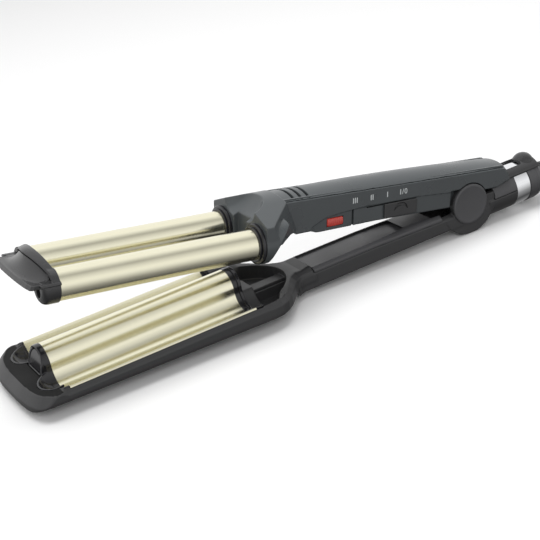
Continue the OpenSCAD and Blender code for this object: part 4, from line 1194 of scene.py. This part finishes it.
def make_plate(look):
    # the sweep runs along its own X axis; the profile's X is then sideways and its Y is height
    verts = [(a * MM, b * MM, 0.0) for a, b in plate_profile()]
    mesh = bpy.data.meshes.new("wave_plate_section")
    mesh.from_pydata(verts, [(i, (i + 1) % len(verts)) for i in range(len(verts))], [])
    plate = new_object("gold_wave_plate", mesh)
    values = {"Length": (PLATE_X1 - PLATE_X0) * MM, "Material": materials()["brushed_gold_coating"]}
    run_tree(plate, sweep_tree(), values)
    co = points_of(plate)
    co[:, 0] += PLATE_X0
    low, high = co.min(0), co.max(0)
    # the profile is set upright whichever way the sweep turned it
    if high[1] - low[1] < 50:
        co = co[:, (0, 2, 1)]
    if abs(co[:, 2].max() - (TUBE_Z + RIDGE_R)) > 0.05:
        co[:, 2] *= -1
    put(plate.data, co, "lower")
    tidy_mesh(plate.data, 25)
    finish(plate, "lower_arm", "gold_coat", "brushed_gold_coating", "wave_plate")
    for name, field, x0, x1, low, node in (
        ("plate_front_end", front_end, -269.4, -257.6, -12.2, "plate_front_cap"),
        ("plate_rear_end", rear_end, -154.4, -148.7, -10, "plate_rear_cap"),
    ):
        lines = [ticks(x0, 0.33, x1), even(0.17, 0.4, 31.8), ticks(low, 0.36, 14.2)]
        carve(name, field, lines, "lower_arm", "gloss_black", "polished_phenolic_caps", node)


def make_lower_arm(look):
    x = ticks(-280.2, 0.5, -256, 1.6, -152, 0.55, -108, 1.6, -20, 0.6, 52)
    lines = [x, even(0.2, 0.6, 34.3), ticks(-18.9, 0.5, 12.6)]
    body = carve("lower_tray_and_arm", lower_body, lines, "lower_arm", "black_plastic", "moulded_nylon_tray",
                 "lower_shell", 0.6)
    # the flat up-facing faces of the nose's deck get a matt finish whose darker colour is painted shade
    body.data.materials.append(materials()["spark_eroded_deck"])
    front = place([(DECK_X, 0, 0)], "lower")[0, 0]
    for face in body.data.polygons:
        if face.center.x < front and face.normal.z > 0.93:
            face.material_index = 1
    lines = [ticks(-107.4, 0.9, -19.2), even(0.2, 0.5, 13), ticks(-9.2, 0.4, 0.2)]
    carve("lower_arm_cover", arm_cover, lines, "lower_arm", "black_plastic", "moulded_nylon_cover",
          "arm_cover", 0.7)


def make_hinge(look):
    face = [(11.42, 0.0001), (12.55, 0.0001), (12.62, 4), (12.62, DISC_R - 2.6), (12.68, DISC_R - 2.2),
            (12.78, DISC_R - 1.3), (12.72, DISC_R - 0.5), (12.4, DISC_R - 0.05), (11.42, DISC_R)]
    for name, side in (("near", -1), ("far", 1)):
        profile = [(side * a, r) for a, r in face]
        disc = lathe(f"hinge_cap_{name}", profile, "lower", along="y", steps=128, angle=40)
        finish(disc, "lower_arm", "satin_black", "moulded_nylon_cover", f"hinge_disc_{name}")


def make_barrel(look):
    lines = [ticks(15, 0.5, 52), even(0.2, 0.45, 12.6), ticks(-4.6, 0.4, 8.2)]
    carve("barrel_upper_half", upper_barrel, lines, "lower_arm", "black_plastic", "moulded_nylon_cover",
          "barrel_cover")
    centre = (0.0, BARREL_Z)
    section = [(34.9, 10.76), (34.9, 11.7), (35.2, 12.0), (44.4, 12.0), (44.7, 11.7), (44.7, 10.76)]
    band = lathe("chrome_band", soften(section, 0.2, 3), "lower", centre, steps=160, angle=30)
    finish(band, "lower_arm", "bright_chrome", "chromium_plate", "bright_band")
    lines = [ticks(44.2, 0.4, 58.2), even(0.2, 0.42, 13), ticks(-17.6, 0.4, 8.8)]
    carve("end_collar_ring", end_ring, lines, "lower_arm", "satin_black", "moulded_nylon_cover", "end_collar")
    lines = [ticks(26.2, 0.35, 54.8), even(0.15, 0.35, 10), ticks(1.6, 0.35, 12.3)]
    carve("closing_lock", slide, lines, "lock_slide", "satin_black", "satin_phenolic_cap", "lock_slide")
    # a flange inside the collar, then the sleeve of the cord with two grooves
    gland = [(52.45, 3.45), (52.45, 8.2), (52.65, 8.4), (54.2, 8.4), (54.35, 8.2), (54.35, 6.4), (60.4, 6.4),
             (60.7, 6.1), (60.7, 5.7), (61.3, 5.7), (61.3, 6.1), (61.6, 6.2), (63.0, 6.05), (63.3, 5.8),
             (63.3, 5.4), (63.9, 5.4), (63.9, 5.75), (64.2, 5.85), (66.9, 5.5), (67.4, 5.1), (67.6, 4.5),
             (67.6, 3.9), (67.1, 3.45)]
    sleeve = lathe("turning_inlet", gland, "lower", centre, steps=96, angle=32)
    finish(sleeve, "cord_swivel", "black_plastic", "moulded_nylon_button", "cord_swivel")


def under_tray(x):
    """Height of a screw's head in the tray's bottom, which stands on the table."""
    return TRAY_BOTTOM - (x - FOOT_X) * math.tan(TILT) + 0.3


def make_screws(look):
    steel = materials()["zinc_plated_steel"]
    tree = screw_tree()
    under_barrel = (BAND_X0 - SCREW_AHEAD, BARREL_Z - BARREL_R + 0.1)
    for name, arm, body, node, places, length_mm in (
        ("tray_screw_pair", "lower", "lower_arm", "tray_screws", [(x, under_tray(x)) for x in SCREW_X], 9.9),
        ("handle_screw_pair", "upper", "upper_arm", "handle_screws", [(x, 1.6) for x in POST_X], 16.4),
        ("barrel_screw_single", "lower", "lower_arm", "barrel_screw", [under_barrel], 13.4),
    ):
        mesh = bpy.data.meshes.new(name)
        mesh.from_pydata([(x * MM, 0, z * MM) for x, z in places], [], [])
        screws = new_object(name, mesh)
        run_tree(screws, tree, {
            "Head diameter": 5.2 * MM, "Head height": 1.6 * MM, "Shank diameter": 2.5 * MM,
            "Shank length": length_mm * MM, "Material": steel})
        put(screws.data, points_of(screws), arm)
        tidy_mesh(screws.data, 30)
        finish(screws, body, "steel", "zinc_plated_steel", node)


# finishes of the pieces that stay as the frame has them
INNER = {
    "plate_heater": "sintered_alumina",
    "heater_clamp": "zinc_plated_steel",
    "thermal_fuse": "rolled_brass",
    "hinge_pin": "zinc_plated_steel",
    "hinge_spring": "tempered_spring_wire",
    "tube_heater_near": "sintered_alumina",
    "tube_heater_far": "sintered_alumina",
    "lamp_body": "moulded_pbt_ivory",
    "switch_body": "moulded_pbt_ivory",
    "circuit_board": "green_solder_resist",
}


def make_inner(look):
    mats = materials()
    for node, name in INNER.items():
        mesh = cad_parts[node].data
        for i in range(max(1, len(mesh.materials))):
            if i < len(mesh.materials):
                mesh.materials[i] = mats[name]
            else:
                mesh.materials.append(mats[name])


# ---------------------------------------------------------------- stage

# the camera's place and its right, up and back directions
CAMERA_AT = (-0.2277, -0.5672, 0.3133)
CAMERA_AXES = ((0.8471, -0.5143, -0.1339), (0.3230, 0.2982, 0.8983), (-0.4220, -0.8042, 0.4187))


# brightness round the X axis as the metal sees it: degrees from the front over the top, and value
BANDS = ((-180, 1), (-168, 0.85), (-156, 0.38), (-120, 0.24), (-77, 0.07), (-40, 0.3), (0, 0.92), (17, 0.95),
         (45, 0.7), (66, 0.42), (90, 0.8), (105, 1), (180, 1))


def studio_world():
    """Soft panels for reflections, bright above and behind with dark gaps; plain white to the camera."""
    world = bpy.data.worlds.new("soft_studio")
    bpy.context.scene.world = world
    world.use_nodes = True
    tree = world.node_tree
    tree.nodes.clear()
    way = add(tree, "ShaderNodeSeparateXYZ", {0: add(tree, "ShaderNodeTexCoord").outputs["Generated"]})
    back = add(tree, "ShaderNodeMath", {0: way.outputs["Y"], 1: -1.0}, operation="MULTIPLY")
    angle = add(tree, "ShaderNodeMath", {0: way.outputs["Z"], 1: back.outputs[0]}, operation="ARCTAN2")
    fac = add(tree, "ShaderNodeMapRange", {
        "Value": angle.outputs[0], "From Min": -math.pi, "From Max": math.pi})
    ramp = add(tree, "ShaderNodeValToRGB", {"Fac": fac.outputs[0]})
    stops = ramp.color_ramp.elements
    for i, (degrees, value) in enumerate(BANDS):
        stop = stops[i] if i < 2 else stops.new((degrees + 180) / 360)
        stop.position = (degrees + 180) / 360
        stop.color = (value, value, value, 1)
    path = add(tree, "ShaderNodeLightPath")
    direct = add(tree, "ShaderNodeMath", {
        0: path.outputs["Is Camera Ray"], 1: path.outputs["Is Transmission Ray"]}, operation="MAXIMUM")
    seen = add(tree, "ShaderNodeBackground", {"Color": (1, 1, 1, 1), "Strength": 1.0})
    level = add(tree, "ShaderNodeMath", {
        0: path.outputs["Is Glossy Ray"], 1: 0.38, 2: 0.68}, operation="MULTIPLY_ADD")
    soft = add(tree, "ShaderNodeBackground", {"Color": ramp.outputs["Color"], "Strength": level.outputs[0]})
    mix = add(tree, "ShaderNodeMixShader", {0: direct.outputs[0], 1: soft.outputs[0], 2: seen.outputs[0]})
    add(tree, "ShaderNodeOutputWorld", {"Surface": mix.outputs[0]})


def panel_light(name, at, aim, size, power):
    data = bpy.data.lights.new(name, "AREA")
    data.shape = "RECTANGLE"
    data.size, data.size_y = size
    data.energy = power
    obj = bpy.data.objects.new(name, data)
    bpy.context.scene.collection.objects.link(obj)
    to = (Vector(aim) - Vector(at)).to_track_quat("-Z", "Y")
    obj.matrix_world = Matrix.Translation(at) @ to.to_matrix().to_4x4()
    obj.visible_glossy = False


def make_stage(look):
    scene = bpy.context.scene
    scene.view_settings.view_transform = "Standard"
    half = 6.0
    corners = [(-half, -half, 0), (half, -half, 0), (half, half, 0), (-half, half, 0)]
    floor = new_object("studio_floor", mesh_of("studio_floor", corners, [(0, 1, 2, 3)]))
    mat = bpy.data.materials.new("pale_paper_sweep")
    mat.use_nodes = True
    tree = mat.node_tree
    shader = tree.nodes["Principled BSDF"]
    # pale to the camera, darker to the light that it throws back up
    path = add(tree, "ShaderNodeLightPath")
    seen = path.outputs["Is Camera Ray"]
    for ray in ("Is Glossy Ray", "Is Transmission Ray"):
        seen = add(tree, "ShaderNodeMath", {0: seen, 1: path.outputs[ray]}, operation="MAXIMUM").outputs[0]
    tone = add(tree, "ShaderNodeMix", {
        "Factor": seen, 6: linear("#7C7C7C"), 7: linear("#F6F6F6")}, data_type="RGBA")
    tree.links.new(tone.outputs[2], shader.inputs["Base Color"])
    shader.inputs["Roughness"].default_value = 0.9
    floor.data.materials.append(mat)
    floor.visible_glossy = False
    studio_world()
    panel_light("overhead_panel", (0.1, 0.15, 1.2), (0.15, 0, 0), (1.1, 0.8), look.light_power)
    panel_light("front_panel", (-0.5, -1.1, 0.9), (0.15, 0, 0), (0.8, 0.6), look.light_power * 0.6)
    cam = bpy.data.cameras.new("camera")
    cam.lens = look.focal_length
    cam.sensor_width = 36.0
    cam.clip_start = 0.01
    eye = bpy.data.objects.new("camera", cam)
    scene.collection.objects.link(eye)
    rows = [list(v) for v in zip(*CAMERA_AXES)]
    eye.matrix_world = Matrix([rows[i] + [CAMERA_AT[i]] for i in range(3)] + [[0, 0, 0, 1]])
    scene.camera = eye


# ---------------------------------------------------------------- add-on


def colour(label, text, default):
    """A colour property of the look."""
    return FloatVectorProperty(name=label, description=text, size=3, min=0, max=1, subtype="COLOR_GAMMA",
                               default=default)


class WaverLook(bpy.types.PropertyGroup):
    """Sizes and colours that a user may change."""

    tube_diameter: FloatProperty(
        name="Tube diameter", description="Outer diameter of the two heated tubes", default=0.016,
        min=0.014, max=0.0165, subtype="DISTANCE", unit="LENGTH")
    mark_height: FloatProperty(
        name="Mark height", description="Height of the printed switch marks", default=0.003,
        min=0.001, max=0.004, subtype="DISTANCE", unit="LENGTH")
    focal_length: FloatProperty(
        name="Focal length", description="Focal length of the camera on a 36 mm sensor", default=88.16,
        min=20, max=300, subtype="DISTANCE_CAMERA", unit="CAMERA")
    light_power: FloatProperty(
        name="Light power", description="Power of the overhead panel", default=10.0,
        min=0, subtype="POWER", unit="POWER")
    handle: colour("Handle colour", "Plastic of the handle", (0.285, 0.3, 0.308))
    tray: colour("Tray colour", "Plastic of the tray, the lower arm and the hinge caps", (0.2, 0.2, 0.205))
    caps: colour("Gloss cap colour", "Polished ends of the plate and tube collars", (0.13, 0.13, 0.14))
    hood: colour("Hood colour", "Front hood, lock, slide button and inlet", (0.2, 0.2, 0.205))
    gold: colour("Coating colour", "Metal coating of the tubes and the plate", (0.935, 0.918, 0.82))
    lens: colour("Lens colour", "Light guide of the power lamp", (0.74, 0.2, 0.15))


def operator(name, label, text, make):
    """A Blender operator that makes one group of pieces."""

    def execute(self, context):
        make(context.scene.waver_look)
        return {"FINISHED"}

    return type(f"WAVER_OT_{name}", (bpy.types.Operator,), {
        "__doc__": text, "bl_idname": f"waver.{name}", "bl_label": label, "execute": execute})


OPERATORS = tuple(operator(*row) for row in (
    ("tubes", "Tubes and collars", "Make the two heated tubes and the rings round their roots", make_tubes),
    ("front_hood", "Front hood", "Make the arched hood that carries the tubes' front ends", make_front_hood),
    ("yoke", "Tube holder", "Make the holder between the tubes and the handle", make_yoke),
    ("handle", "Handle", "Make the upper and lower halves of the handle", make_handle),
    ("switch", "Switch and lamp", "Make the slide button, the lamp's lens and the marks", make_switch),
    ("plate", "Wave plate", "Make the wave plate and its glossy ends", make_plate),
    ("lower_arm", "Lower arm", "Make the tray with its arm, and the arm's cover", make_lower_arm),
    ("hinge", "Hinge caps", "Make the round caps on both sides of the hinge", make_hinge),
    ("barrel", "Barrel and lock", "Make the rear barrel, band, end collar, lock and inlet", make_barrel),
    ("screws", "Screws", "Make the cross-recess screws of both arms", make_screws),
    ("inner", "Inner parts", "Give the parts inside their materials", make_inner),
    ("stage", "Stage", "Make the floor, the soft light and the camera", make_stage),
))


class WAVER_PT_build(bpy.types.Panel):
    """Lists the steps that build the hair waver."""

    bl_label = "Hair waver"
    bl_idname = "WAVER_PT_build"
    bl_space_type = "VIEW_3D"
    bl_region_type = "UI"
    bl_category = "Waver"

    def draw(self, context):
        look = context.scene.waver_look
        for prop in WaverLook.__annotations__:
            self.layout.prop(look, prop)
        for step in OPERATORS:
            self.layout.operator(step.bl_idname)


def register():
    for cls in (WaverLook, *OPERATORS, WAVER_PT_build):
        bpy.utils.register_class(cls)
    bpy.types.Scene.waver_look = PointerProperty(type=WaverLook)


def unregister():
    del bpy.types.Scene.waver_look
    for cls in (WAVER_PT_build, *reversed(OPERATORS), WaverLook):
        bpy.utils.unregister_class(cls)


def main():
    register()
    for step in OPERATORS:
        group, name = step.bl_idname.split(".")
        getattr(getattr(bpy.ops, group), name)()


if __name__ == "__main__":
    main()
